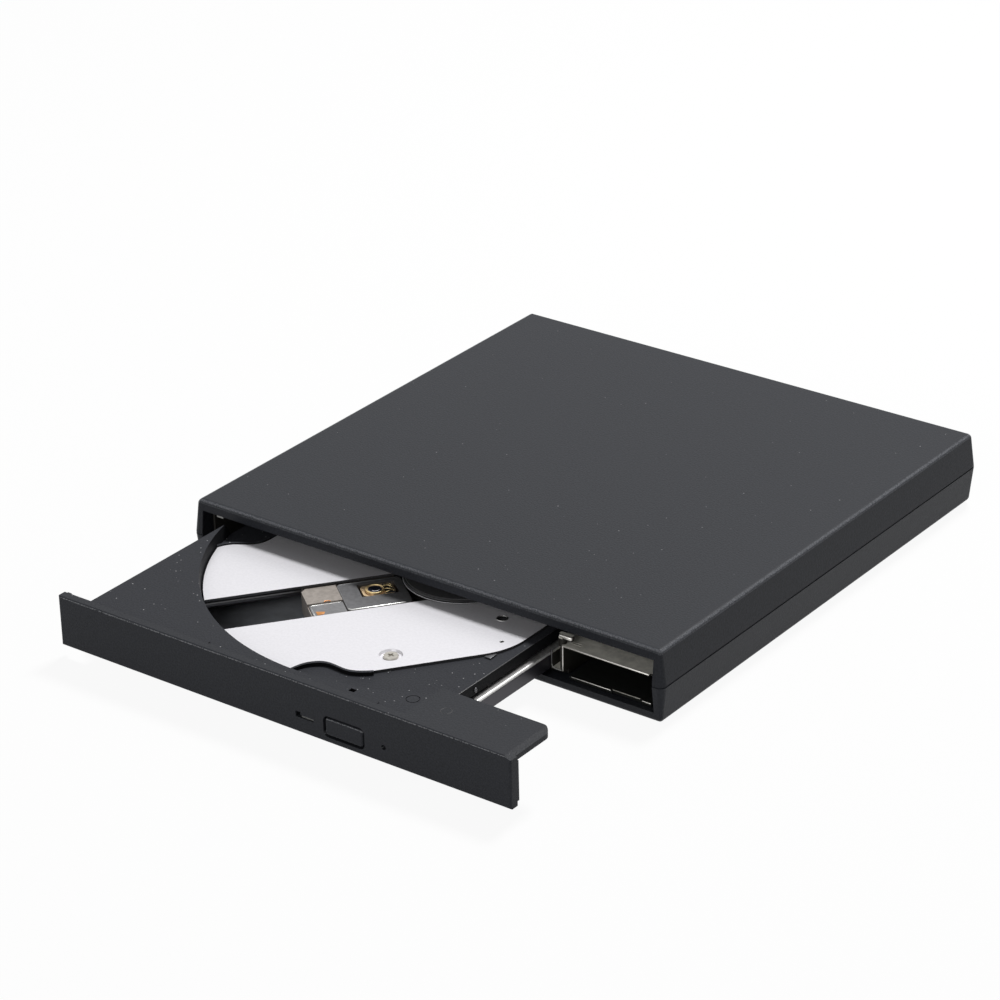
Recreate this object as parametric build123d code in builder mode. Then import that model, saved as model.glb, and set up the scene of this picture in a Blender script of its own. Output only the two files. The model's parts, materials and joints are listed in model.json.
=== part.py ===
from build123d import *

import os
from math import atan, cos, degrees, radians, sin

# External slimline disc drive: a slimline tray drive inside a two-shell plastic case.
# Millimetres. X to the right seen from the front, Y to the back, Z up from the case's underside.
# The feet stand below zero. The tray stands partly open: it and its rails are drawn closed and moved out.
# Heights ending in _up are measured from the underside of the drive inside the case.

os.makedirs("parts", exist_ok=True)

# Disc, and the drive built around it
disc_radius = 60.0
recess_gap = 1.0
recess_slant = 0.5
disc_x = 1.8
side_margin = 4.0
length_margin = 6.1
drive_height = 12.7
sheet = 0.5
wing_share = 0.40246
wing_drop = 4.8
rear_room = 5.3

# Case shells around the drive
side_wall = 2.8
side_gap = 0.9
top_wall = 2.6
top_gap = 0.15
bottom_wall = 2.4
drive_seat = 0.35
back_wall = 2.6
plug_room = 5.2
chassis_setback = 2.3
left_wall_setback = 1.0
parting_height = 9.4
side_draft = 1.05
corner_radius = 1.7
top_edge_radius = 1.2
bottom_edge_radius = 1.2
seam_step = 0.2
seat_rib = 2.0
boss_radius = 2.3
boss_inset = 2.6

# Feet under the case
foot_stand = 0.6
foot_sunk = 0.8
foot_radius = 4.0
foot_inset = 13.0

# How far the tray stands out, how far its rails lag behind it, and the clearances
tray_out = 50.3
rail_lag = 5.3
slide_gap = 0.1
liner_gap = 0.05

# Slide rails, low beside the tray's body; the right one lies under the tray's overhanging edge
rail_width = 2.8
rail_height = 3.9
rail_sheet = 0.45
rail_up = 1.15
rail_edge_radius = 0.7
rail_back_gap = 8.6
rail_show = 1.5
rail_side_gap = 0.2
left_rail_gap = 0.35
guide_width = 3.05
guide_low_up = 1.15

# Bezel
bezel_thick = 2.3
bezel_proud = 0.3
bezel_edge_radius = 0.5
flange_thick = 1.9
flange_depth = 15.5
flange_corner = 2.5
flange_inset = 0.3
flange_bevel = (1.7, 0.8)
end_lip_width = 1.1
end_lip_depth = 1.1
right_lip_depth = 0.6

# Controls in the bezel
button_x = 19.05
button_up = 4.0
button_width = 10.4
button_height = 4.3
button_gap = 0.5
button_corner = 0.9
button_travel = 0.6
button_flange = 0.8
button_stem = 2.0
lamp_x = 8.8
lamp_up = 4.15
lamp_width = 3.6
lamp_height = 0.6
lamp_depth = 6.0
lamp_gap = 0.05
lamp_inset = 0.4
lamp_hole = 1.4
pin_hole_x = 30.0
pin_hole_up = 3.95
pin_hole_radius = 0.6

# Tray
rim_drop = 0.85
recess_depth = 3.3
floor_thick = 1.2
tray_skin = 1.4
front_skin = 0.8
front_rim = 2.7
side_cut = 2.1
tray_under_up = 1.65
overhang_up = 5.85
tongue_gap = 0.15
rail_end_gap = 0.5
rim_mark_depth = 0.2
rim_mark_radius = 1.6
rim_hole = (1.5, 1.2)
rim_mark_at = (29.2, -56.6)
rim_hole_side = 16.1
rim_knob_sides = (23.7, -24.1)
board_post_sides = (11.1, 8.8)
board_post_back = 7.0
board_motor_gap = 9.4
window_room = (1.7, 4.0)

# Mechanism plate; its outline points are for a recess of the drawn radius, from the disc centre
drawn_recess = 61.0
plate_thick = 0.65
plate_margin = 0.3
plate_corner = 5.0
slot_near = 5.3
slot_far = 9.9
feed_heading = 231.8

# Rubber dampers and their screws
dimple_radius = 2.9
dimple_depth = 0.6
damper_radius = 2.6
damper_drop = 2.95
damper_wall = 0.8
plate_screw_head = 1.75
plate_screw_shank = 0.8
screw_gap = 0.05

# Spindle
turntable_radius = 14.2
spindle_gap = 0.7
turntable_thick = 0.8
turntable_stand = 0.45
pad_thick = 0.35
pad_inner = 10.2
hub_radius = 7.4
hub_cover_gap = 0.35
bell_radius = 12.3
bell_wall = 0.6
bell_low_up = 3.9
shaft_radius = 1.0
shaft_gap = 0.03
bush_radius = 2.2
bush_gap = 1.05
motor_base_up = 2.2
motor_base_thick = 0.7
motor_post_gaps = (1.1, 2.1)
motor_post_radius = 1.2
claw_count = 3
claw_width = 2.0
claw_height = 0.6
claw_reach = 0.5
claw_travel = 0.5

# Pickup sled, measured from the disc centre along and across the feed line
sled_bell_gap = 1.9
lens_inset = 7.0
sled_mid_reach = 8.2
sled_front = 8.3
sled_split = 2.7
sled_near_corner = 1.2
sled_far_corner = 1.6
arm_inset = 1.0
arm_half = 1.8
sled_low_up = 3.4
sled_deck_drop = 0.75
sled_top_drop = 0.7
sled_gap = 0.35
rod_radius = 1.0
rod_drop = 2.55
rod_near = 9.2
rod_bell_gap = 0.3
rod_lead = 3.6
holder_long = 3.0
holder_wall_gap = 1.26
end_gap = 0.7
lens_radius = 2.0
lens_ring = 0.3
lens_block_along = (-4.6, 3.0)
lens_block_across = (-3.0, 2.0)
lens_window_room = 0.6
lens_well_room = 1.2
lens_well_floor = 1.0
focus_travel = 0.3
feed_motor_gap = 2.0
screw_radius = 1.2
screw_pitch = 3.0
screw_neck = 0.75
thread_depth = 0.25
follower_place = (2.0, 6.0)
follower_half = 0.8
feed_motor_radius = 3.1
feed_motor_length = 12.0

# Boards and sockets
board_thick = 0.8
board_inset = 3.0
bridge_seat = 0.25
bridge_inset = (1.55, 0.8)
board_notch = (10.6, 2.5, 0.4)
usb_width = 7.7
usb_height = 3.9
usb_depth = 9.2
usb_shell = 0.4
jack_inset = 2.4
jack_width = 6.4
jack_height = 5.0
jack_depth = 9.0
jack_floor = 2.0
jack_bore = 1.9
jack_pin = 0.6
socket_gap = 0.3
socket_spacing = 0.75
socket_inset = 0.4
ribbon_left = -30.0
ribbon_width = 18.0
ribbon_thick = 0.12

# Latch
latch_pin_inset = (2.9, 9.6)
latch_pin_radius = 1.0
latch_reach = (4.7, 10.5)
latch_thick = 1.0
latch_up = 2.3
latch_arm = 1.6
latch_clear = 0.4
catch_long = 2.0
solenoid_size = (15.0, 6.0, 4.6)
solenoid_gap = 2.9

# Places worked out from the sizes above
recess_radius = disc_radius + recess_gap
plate_unit = recess_radius / drawn_recess
drive_half = disc_radius + side_margin
drive_length = 2 * disc_radius + length_margin
case_width = 2 * (drive_half + side_gap + side_wall)
case_depth = chassis_setback + drive_length + plug_room + back_wall
case_height = bottom_wall + drive_seat + drive_height + top_gap + top_wall
base_z = 0.0
case_front = -case_depth / 2
case_back = case_depth / 2
cavity_half = drive_half + side_gap
cavity_back = case_back - back_wall
cavity_floor = base_z + bottom_wall
cavity_roof = base_z + case_height - top_wall
parting_z = base_z + parting_height
drive_z = cavity_floor + drive_seat
chassis_front = case_front + chassis_setback
chassis_back = chassis_front + drive_length
cover_up = drive_height - sheet
wing_up = cover_up - wing_drop
wing_top = wing_up + sheet
step_x = drive_half - recess_radius * wing_share
bezel_front = case_front - bezel_proud
bezel_back = bezel_front + bezel_thick
flange_back = bezel_front + flange_depth
tray_front = bezel_back
tray_back = chassis_back - rear_room
rim_up = drive_height - rim_drop
floor_up = rim_up - recess_depth
plate_up = floor_up + plate_thick
disc_y = tray_front + front_rim + recess_radius
tray_left = disc_x - recess_radius + side_cut
rail_out = tray_out - rail_lag
guide_left = step_x - sheet - guide_width
rail_x = guide_left - slide_gap - rail_width / 2
rail_far = rail_x + rail_width / 2
tray_right = rail_far - rail_show
tray_side = rail_far - rail_width - rail_side_gap
left_rail_x = tray_left - left_rail_gap - slide_gap - rail_width / 2
rail_front = bezel_back + rail_end_gap
rail_back = tray_back - rail_back_gap
bridge_left = step_x + bridge_inset[0]
bridge_right = drive_half - bridge_inset[1]
board_z = cavity_floor + bridge_seat
board_top = board_z + board_thick
jack_x = bridge_left + jack_inset
usb_x = jack_x + (jack_width + usb_width) / 2 + socket_spacing
boss_y = (chassis_back + cavity_back) / 2
boss_spots = [(-cavity_half + boss_inset, boss_y), (cavity_half - boss_inset, boss_y)]
latch_pin_x = tray_side - latch_pin_inset[0]
latch_pin_y = tray_front + latch_pin_inset[1]
latch_pivot = (latch_pin_x - latch_reach[0], latch_pin_y + latch_reach[1])
feed_line = (cos(radians(feed_heading)), sin(radians(feed_heading)), 0)
spindle_hole = turntable_radius + spindle_gap
turntable_up = plate_up + turntable_stand
hub_up = cover_up - hub_cover_gap
damper_seat_up = floor_up - damper_drop
sled_deck_up = floor_up - sled_deck_drop
sled_top_up = plate_up - sled_top_drop
rod_up = floor_up - rod_drop
rod_far = bell_radius + rod_bell_gap
screw_up = (floor_up + tray_under_up) / 2
screw_line = bell_radius + feed_motor_gap + feed_motor_radius
sled_inner = bell_radius + sled_bell_gap
lens_reach = sled_inner + lens_inset
sled_mid = lens_reach + sled_mid_reach
sled_outer = sled_mid + sled_front
rod_start = sled_inner - rod_lead
follower_along = (sled_inner + follower_place[0], sled_inner + follower_place[1])
# the far rod's holder stands close behind the tray's front wall, which sets the travel
holder_room = front_rim + recess_radius - front_skin - holder_wall_gap
far_rod_end = (holder_room + (rod_far + arm_half) * feed_line[0]) / -feed_line[1]
sled_travel = far_rod_end - holder_long - end_gap - (sled_mid - arm_inset)
near_rod_end = far_rod_end + sled_front
bracket_start = follower_along[1] + sled_travel + end_gap
lead_screw_end = bracket_start + holder_long
lens_block = [lens_reach + reach for reach in lens_block_along]
post_back = bell_radius + motor_post_gaps[0]
motor_posts = [(-post_back, motor_post_gaps[0] - bell_radius), (-post_back, bell_radius - motor_post_gaps[0]),
               (post_back / 2, bell_radius + motor_post_gaps[1])]
base_edge = motor_post_radius + tray_skin / 2
base_back = (motor_posts[0][0] - base_edge) * feed_line[1] + (motor_posts[0][1] - base_edge) * feed_line[0]
main_board_front = disc_y + base_back + board_motor_gap
board_behind = bezel_back + button_flange + button_travel + slide_gap


def on_plate(x, y):
    return (x * plate_unit, y * plate_unit)


damper_spots = [on_plate(10.0, -40.05), on_plate(-40.0, 18.4), on_plate(22.2, 18.4)]
dampers = [(disc_x + spot[0], disc_y + spot[1]) for spot in damper_spots]


def case_level(height):
    return Plane(origin=(0, 0, height))


def drive_level(up):
    return Plane(origin=(0, 0, drive_z + up))


def rail_level(up):
    return Plane(origin=(0, -rail_out, drive_z + up))


def tray_level(up):
    return Plane(origin=(0, -tray_out, drive_z + up))


def spindle_level(up):
    return Plane(origin=(disc_x, disc_y - tray_out, drive_z + up))


def feed_level(up):
    # local X runs along the pickup's path away from the spindle, local Y across it
    return Plane(origin=(disc_x, disc_y - tray_out, drive_z + up), x_dir=feed_line, z_dir=(0, 0, 1))


def feed_section(along, across, up):
    # a plane square to the pickup's path, local X across it and local Y up
    return Plane(
        origin=feed_level(up).from_local_coords((along, across, 0)),
        x_dir=feed_level(up).y_dir,
        z_dir=feed_line,
    )


def front_plane(x, y, up):
    # an upright plane on the tray that faces the front, local X to the right and local Y up
    return Plane(origin=(x, y - tray_out, drive_z + up), x_dir=(1, 0, 0), z_dir=(0, -1, 0))


def slab(level, x, y, up, mode=Mode.ADD, radius=0):
    with BuildSketch(level(up[0])) as outline:
        with Locations(((x[0] + x[1]) / 2, (y[0] + y[1]) / 2)):
            if radius:
                RectangleRounded(x[1] - x[0], y[1] - y[0], radius)
            else:
                Rectangle(x[1] - x[0], y[1] - y[0])
    extrude(outline.sketch, amount=up[1] - up[0], mode=mode)


def post(level, spots, radius, up, mode=Mode.ADD):
    with BuildSketch(level(up[0])) as outline:
        with Locations(*spots):
            Circle(radius)
    extrude(outline.sketch, amount=up[1] - up[0], mode=mode)


def rod_along_feed(along, across, up, radius, mode=Mode.ADD):
    with BuildSketch(feed_section(along[0], across, up)) as outline:
        Circle(radius)
    extrude(outline.sketch, amount=along[1] - along[0], mode=mode)


def bezel_cut(x, up, width, height, radius=0):
    # an opening right through the bezel and the tray's front wall
    with BuildSketch(front_plane(x, bezel_front, up)) as outline:
        if radius:
            RectangleRounded(width, height, radius)
        else:
            Rectangle(width, height)
    extrude(outline.sketch, amount=bezel_thick + front_skin, both=True, mode=Mode.SUBTRACT)


def seam_groove(low):
    # a fine step around a shell where it meets the other one
    with BuildSketch(case_level(low)) as band:
        Rectangle(case_width + corner_radius, case_depth + corner_radius)
        RectangleRounded(case_width - 2 * seam_step, case_depth - 2 * seam_step,
                         corner_radius - seam_step, mode=Mode.SUBTRACT)
    extrude(band.sketch, amount=seam_step, mode=Mode.SUBTRACT)


def save(name, piece):
    piece.part.label = name
    export_step(piece.part, f"parts/{name}.step")


# Top shell: drafted sides, rounded top edge, open below and at the front
top_height = base_z + case_height - parting_z
with BuildPart() as top_case:
    with BuildSketch(case_level(parting_z)):
        RectangleRounded(case_width, case_depth, corner_radius)
    extrude(amount=top_height, taper=degrees(atan(side_draft / top_height)))
    fillet(top_case.faces().sort_by(Axis.Z)[-1].edges(), top_edge_radius)
    seam_groove(parting_z)
    slab(case_level, (-cavity_half, cavity_half), (case_front * 2, cavity_back),
         (parting_z, cavity_roof), Mode.SUBTRACT)
    post(case_level, boss_spots, boss_radius, (parting_z, cavity_roof))
    post(case_level, boss_spots, plate_screw_shank + screw_gap,
         (parting_z, cavity_roof - seam_step), Mode.SUBTRACT)
save("top_case", top_case)

# Bottom shell: seat ribs for the drive, foot pockets, screw bosses and rear socket windows
foot_spots = [(sx * (case_width / 2 - foot_inset), sy * (case_depth / 2 - foot_inset))
              for sx in (-1, 1) for sy in (-1, 1)]
screw_head_depth = 1.3
with BuildPart() as bottom_case:
    with BuildSketch(Plane(origin=(0, 0, parting_z), z_dir=(0, 0, -1))):
        RectangleRounded(case_width, case_depth, corner_radius)
    extrude(amount=parting_height, taper=degrees(atan(side_draft / parting_height)))
    fillet(bottom_case.faces().sort_by(Axis.Z)[0].edges(), bottom_edge_radius)
    seam_groove(parting_z - seam_step)
    slab(case_level, (-cavity_half, cavity_half), (case_front * 2, cavity_back),
         (cavity_floor, parting_z), Mode.SUBTRACT)
    for rib_y in (chassis_front + drive_length * 0.15, chassis_front + drive_length * 0.5,
                  chassis_front + drive_length * 0.85):
        slab(case_level, (-drive_half + seat_rib, step_x - seat_rib),
             (rib_y - seat_rib / 2, rib_y + seat_rib / 2), (cavity_floor, drive_z))
        slab(case_level, (bridge_left + seat_rib, bridge_right - seat_rib),
             (rib_y - seat_rib / 2, rib_y + seat_rib / 2), (cavity_floor, board_z))
    post(case_level, boss_spots, boss_radius, (cavity_floor, parting_z))
    post(case_level, boss_spots, plate_screw_shank + screw_gap, (base_z, parting_z), Mode.SUBTRACT)
    post(case_level, boss_spots, plate_screw_head + screw_gap,
         (base_z, base_z + screw_head_depth), Mode.SUBTRACT)
    post(case_level, foot_spots, foot_radius, (base_z, base_z + foot_sunk), Mode.SUBTRACT)
    slab(case_level, (usb_x - usb_width / 2 - socket_gap, usb_x + usb_width / 2 + socket_gap),
         (cavity_back - back_wall, case_back + back_wall),
         (board_top - socket_gap, board_top + usb_height + socket_gap), Mode.SUBTRACT)
    slab(case_level, (jack_x - jack_width / 2 - socket_gap, jack_x + jack_width / 2 + socket_gap),
         (cavity_back - back_wall, case_back + back_wall),
         (board_top - socket_gap, board_top + jack_height + socket_gap), Mode.SUBTRACT)
save("bottom_case", bottom_case)

# Four stick-on feet in shallow pockets
with BuildPart() as rubber_feet:
    post(case_level, foot_spots, foot_radius, (base_z - foot_stand, base_z + foot_sunk))
    chamfer(rubber_feet.edges().group_by(Axis.Z)[0], foot_stand / 2)
save("rubber_feet", rubber_feet)

# Two screws that hold the shells together at the back
case_screw_tip = cavity_roof - 2 * seam_step
with BuildPart() as case_screws:
    post(case_level, boss_spots, plate_screw_head, (base_z + seam_step, base_z + screw_head_depth))
    post(case_level, boss_spots, plate_screw_shank, (base_z + screw_head_depth, case_screw_tip))
    for spot in boss_spots:
        slab(case_level, (spot[0] - plate_screw_shank, spot[0] + plate_screw_shank),
             (spot[1] - screw_gap * 5, spot[1] + screw_gap * 5),
             (base_z, base_z + screw_head_depth / 2), Mode.SUBTRACT)
        slab(case_level, (spot[0] - screw_gap * 5, spot[0] + screw_gap * 5),
             (spot[1] - plate_screw_shank, spot[1] + plate_screw_shank),
             (base_z, base_z + screw_head_depth / 2), Mode.SUBTRACT)
save("case_screws", case_screws)

# Drive pan: one bent sheet, deep on the left and shallow under the disc's overhang on the right
connector_half = 21.0
connector_up = (1.2, 6.4)
floor_setback = 2.0
lug_width = 1.8
lug_stand = 1.9
lug_up = wing_top + lug_stand
hem_place = (1.45, 2.15)
hem_thick = 1.2
hem_up = drive_height - flange_thick - 3 * slide_gap
lip_room = right_lip_depth + rail_side_gap
with BuildPart() as drive_pan:
    slab(drive_level, (-drive_half, step_x), (chassis_front + floor_setback, chassis_back), (0, sheet))
    slab(drive_level, (-drive_half, -drive_half + sheet),
         (chassis_front + left_wall_setback, chassis_back), (0, cover_up))
    slab(drive_level, (step_x - sheet, step_x), (chassis_front, chassis_back), (0, wing_top))
    slab(drive_level, (step_x - 2 * sheet, step_x + sheet),
         (chassis_front - sheet, chassis_front + floor_setback), (-sheet, guide_low_up), Mode.SUBTRACT)
    slab(drive_level, (step_x - sheet, drive_half), (chassis_front, chassis_back), (wing_up, wing_top))
    slab(drive_level, (drive_half - sheet, drive_half), (flange_back + rail_end_gap, chassis_back),
         (wing_up, cover_up))
    slab(drive_level, (-drive_half, step_x), (chassis_back - sheet, chassis_back), (0, cover_up))
    slab(drive_level, (step_x - sheet, drive_half), (chassis_back - sheet, chassis_back),
         (wing_up, cover_up))
    slab(drive_level, (-connector_half, connector_half), (chassis_back - 2 * sheet, chassis_back + sheet),
         connector_up, Mode.SUBTRACT)
    # stamped lug over the step, and the rolled hem that it carries
    slab(drive_level, (step_x - lug_width, step_x),
         (chassis_front + slide_gap, chassis_front + slide_gap + lug_width),
         (wing_up, lug_up), radius=lug_width * 0.45)
    lug_z = drive_z + lug_up
    fillet(drive_pan.edges().filter_by_position(Axis.Z, lug_z - slide_gap, lug_z + slide_gap),
           lug_width * 0.3)
    slab(drive_level, (step_x - hem_place[0], step_x + hem_place[1]),
         (chassis_front + sheet / 2, chassis_front + sheet / 2 + hem_thick),
         (hem_up - hem_thick, hem_up), radius=hem_thick * 0.4)
    slab(drive_level, (drive_half - end_lip_width - rail_side_gap, drive_half + sheet),
         (chassis_front - sheet, bezel_back + lip_room), (wing_up, wing_top), Mode.SUBTRACT)
save("drive_pan", drive_pan)

# Drive top cover: flat sheet, cut back at the right front where the bezel's flange lies
tab_span = (2.1, 4.0)
tab_drop = 0.8
with BuildPart() as drive_top_cover:
    slab(drive_level, (-drive_half, drive_half), (chassis_front, chassis_back), (cover_up, drive_height))
    slab(drive_level, (tray_right - rail_end_gap, drive_half + sheet),
         (chassis_front - sheet, flange_back + rail_end_gap), (cover_up, drive_height), Mode.SUBTRACT)
    # a small tab bent down at the left front
    slab(drive_level, (-drive_half + tab_span[0], -drive_half + tab_span[1]),
         (chassis_front, chassis_front + sheet), (cover_up - tab_drop, cover_up))
save("drive_top_cover", drive_top_cover)

# Fixed guides for the two rails: a channel beside the pan's step, and an upright strip on the left
rail_top_up = rail_up + rail_height
with BuildPart() as right_guide:
    slab(drive_level, (guide_left, step_x - sheet), (chassis_front, rail_back),
         (guide_low_up, guide_low_up + rail_sheet))
    slab(drive_level, (guide_left, guide_left + rail_sheet), (chassis_front, rail_back),
         (guide_low_up, rail_top_up))
    slab(drive_level, (step_x - sheet - rail_sheet, step_x - sheet), (chassis_front, rail_back),
         (guide_low_up, wing_up))
save("right_guide", right_guide)

left_outer = left_rail_x - rail_width / 2 - slide_gap
with BuildPart() as left_guide:
    slab(drive_level, (-drive_half + sheet, left_outer), (chassis_front + floor_setback, rail_back),
         (sheet, 2 * sheet))
    slab(drive_level, (left_outer - sheet, left_outer), (chassis_front + floor_setback, rail_back),
         (sheet, rail_top_up))
save("left_guide", left_guide)

# Nylon strips that the rails run on
with BuildPart() as guide_liners:
    for centre in (rail_x, left_rail_x):
        slab(drive_level, (centre - rail_width / 2, centre + rail_width / 2),
             (chassis_front + floor_setback, rail_back), (sheet, rail_up - liner_gap))
save("guide_liners", guide_liners)


def rail_profile(centre, open_side):
    # channel rail, open towards the tray, with its outer top edge rolled
    outer = centre - open_side * rail_width / 2
    inner = centre + open_side * rail_width / 2
    low, high = sorted((outer, inner))
    slab(rail_level, (low, high), (rail_front, rail_back), (rail_up, rail_up + rail_height))
    slot_end = outer + open_side * rail_sheet
    groove = sorted((slot_end, inner + open_side * rail_sheet))
    slab(rail_level, groove, (rail_front - rail_sheet, rail_back + rail_sheet),
         (rail_up + rail_sheet, rail_up + rail_height - rail_sheet), Mode.SUBTRACT)


with BuildPart() as right_rail:
    rail_profile(rail_x, -1)
    fillet(right_rail.edges().filter_by(Axis.Y).group_by(Axis.Z)[-1].sort_by(Axis.X)[-1],
           min(rail_edge_radius, rail_sheet * 1.6))
save("right_rail", right_rail)

with BuildPart() as left_rail:
    rail_profile(left_rail_x, 1)
    fillet(left_rail.edges().filter_by(Axis.Y).group_by(Axis.Z)[-1].sort_by(Axis.X)[0],
           min(rail_edge_radius, rail_sheet * 1.6))
save("left_rail", left_rail)

# Bezel with its top flange over the wing, a lip at the left end and the control openings
with BuildPart() as bezel:
    slab(tray_level, (-drive_half, drive_half), (bezel_front, bezel_back), (0, drive_height))
    fillet(bezel.faces().sort_by(Axis.Y)[0].edges(), bezel_edge_radius)
    slab(tray_level, (tray_right, drive_half - flange_inset), (bezel_back, flange_back),
         (drive_height - flange_thick, drive_height))
    fillet(bezel.edges().filter_by(Axis.Z).group_by(Axis.Y)[-1].sort_by(Axis.X)[-1], flange_corner)
    # sloping edge along the right end
    with BuildSketch(front_plane(drive_half, bezel_front - bezel_proud, drive_height)) as bevel:
        Polygon((0, 0), (-flange_bevel[0], 0), (0, -flange_bevel[1]), align=None)
    extrude(bevel.sketch, amount=-2 * flange_depth, mode=Mode.SUBTRACT)
    # lips behind both ends
    slab(tray_level, (-drive_half, -drive_half + end_lip_width), (bezel_back, bezel_back + end_lip_depth),
         (sheet + slide_gap, cover_up - slide_gap))
    slab(tray_level, (drive_half - end_lip_width, drive_half), (bezel_back, bezel_back + right_lip_depth),
         (2 * sheet + slide_gap, drive_height - flange_thick))
    bezel_cut(button_x, button_up, button_width + 2 * button_gap, button_height + 2 * button_gap,
              button_corner + button_gap)
    bezel_cut(lamp_x, lamp_up, lamp_width + 2 * lamp_gap, lamp_height + 2 * lamp_gap)
    bezel_cut(lamp_x - (lamp_width + lamp_hole) / 2, lamp_up + lamp_inset, lamp_hole, lamp_hole)
    bezel_cut(pin_hole_x, pin_hole_up, 2 * pin_hole_radius, 2 * pin_hole_radius, pin_hole_radius * 0.99)
save("bezel", bezel)

# Eject button: cap in the bezel, a flange behind it and a stem towards the switch
button_half = button_width / 2
with BuildPart() as eject_button:
    with BuildSketch(front_plane(button_x, bezel_back + slide_gap, button_up)):
        RectangleRounded(button_width, button_height, button_corner)
    extrude(amount=bezel_thick + slide_gap)
    fillet(eject_button.faces().sort_by(Axis.Y)[0].edges(), bezel_edge_radius)
    slab(tray_level, (button_x - button_half - 2 * button_gap, button_x + button_half + 2 * button_gap),
         (bezel_back + slide_gap, bezel_back + button_flange),
         (button_up - button_height / 2 - 2 * button_gap, button_up + button_height / 2 + 2 * button_gap))
    slab(tray_level, (button_x - button_stem / 2, button_x + button_stem / 2),
         (bezel_back + button_flange, bezel_back + button_flange + button_stem),
         (button_up - button_stem / 2, button_up + button_stem / 2))
save("eject_button", eject_button)

# Light pipe of the busy lamp
with BuildPart() as lamp_pipe:
    slab(tray_level, (lamp_x - lamp_width / 2, lamp_x + lamp_width / 2),
         (bezel_front + lamp_inset, bezel_front + lamp_depth),
         (lamp_up - lamp_height / 2, lamp_up + lamp_height / 2))
save("lamp_pipe", lamp_pipe)

# Outline of the mechanism plate, from the disc centre
plate_arc = recess_radius - recess_slant - plate_margin
back_left = on_plate(-48.4, 28.4)
left_run = [on_plate(-48.4, -11.4), on_plate(-50.2, -16.2), on_plate(-54.2, -19.0), on_plate(-56.05, -21.97)]
mid_arc = (plate_arc * cos(radians(225)), plate_arc * sin(radians(225)))
wave = [on_plate(-4.6, -60.0), on_plate(-3.2, -53.6), on_plate(0.0, -50.8), on_plate(4.2, -50.8),
        on_plate(11.4, -47.9)]
front_right = on_plate(30.4, -23.46)
back_right = on_plate(30.4, 28.4)
plate_holes = ((on_plate(26.7, -21.3), 0.5), (on_plate(20.2, -12.4), 1.3))
edge_tab = (on_plate(27.3, -28.4), on_plate(28.8, -26.0))
wave_ends = [(0.1, 1), (1, 0.9)]
left_ends = [(0, -1), (-0.4, -1)]
wave_side = (0.6, -0.8)
left_side = (-0.8, 0.6)
edge_gap = 0.2
edge_far = 1.0
edge_stand = 0.25

# Tray: a floor with walls below, a raised rim around the disc recess, and a tongue in each rail
tongue_low = rail_up + rail_sheet + tongue_gap
tongue_high = rail_up + rail_height - rail_sheet - tongue_gap
right_tongue_end = rail_x + rail_width / 2 - rail_sheet - tongue_gap
left_tongue_end = left_rail_x - rail_width / 2 + rail_sheet + tongue_gap
tongue_front = rail_front + tray_out - rail_out
window_near = -bell_radius - window_room[0]
window_far = screw_line + window_room[1]
window_back = -post_back - base_edge - window_room[1]
window_front = near_rod_end + tray_skin
tunnel_up = sled_top_up + sled_gap
board_posts_x = (tray_left + board_post_sides[0], tray_side - board_post_sides[1])
board_posts_y = (main_board_front + board_inset, tray_back - board_post_back)
board_spots = [(post_x, post_y) for post_x in board_posts_x for post_y in board_posts_y]
main_board_up = 2.6
board_post = 2.0
mark_x = disc_x + rim_mark_at[0] * plate_unit
mark_y = disc_y + rim_mark_at[1] * plate_unit
rim_hole_at = (disc_x + rim_hole_side * plate_unit, tray_front + front_rim)
rim_knobs = [(disc_x + side * plate_unit, tray_front + front_rim / 2) for side in rim_knob_sides]
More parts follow.
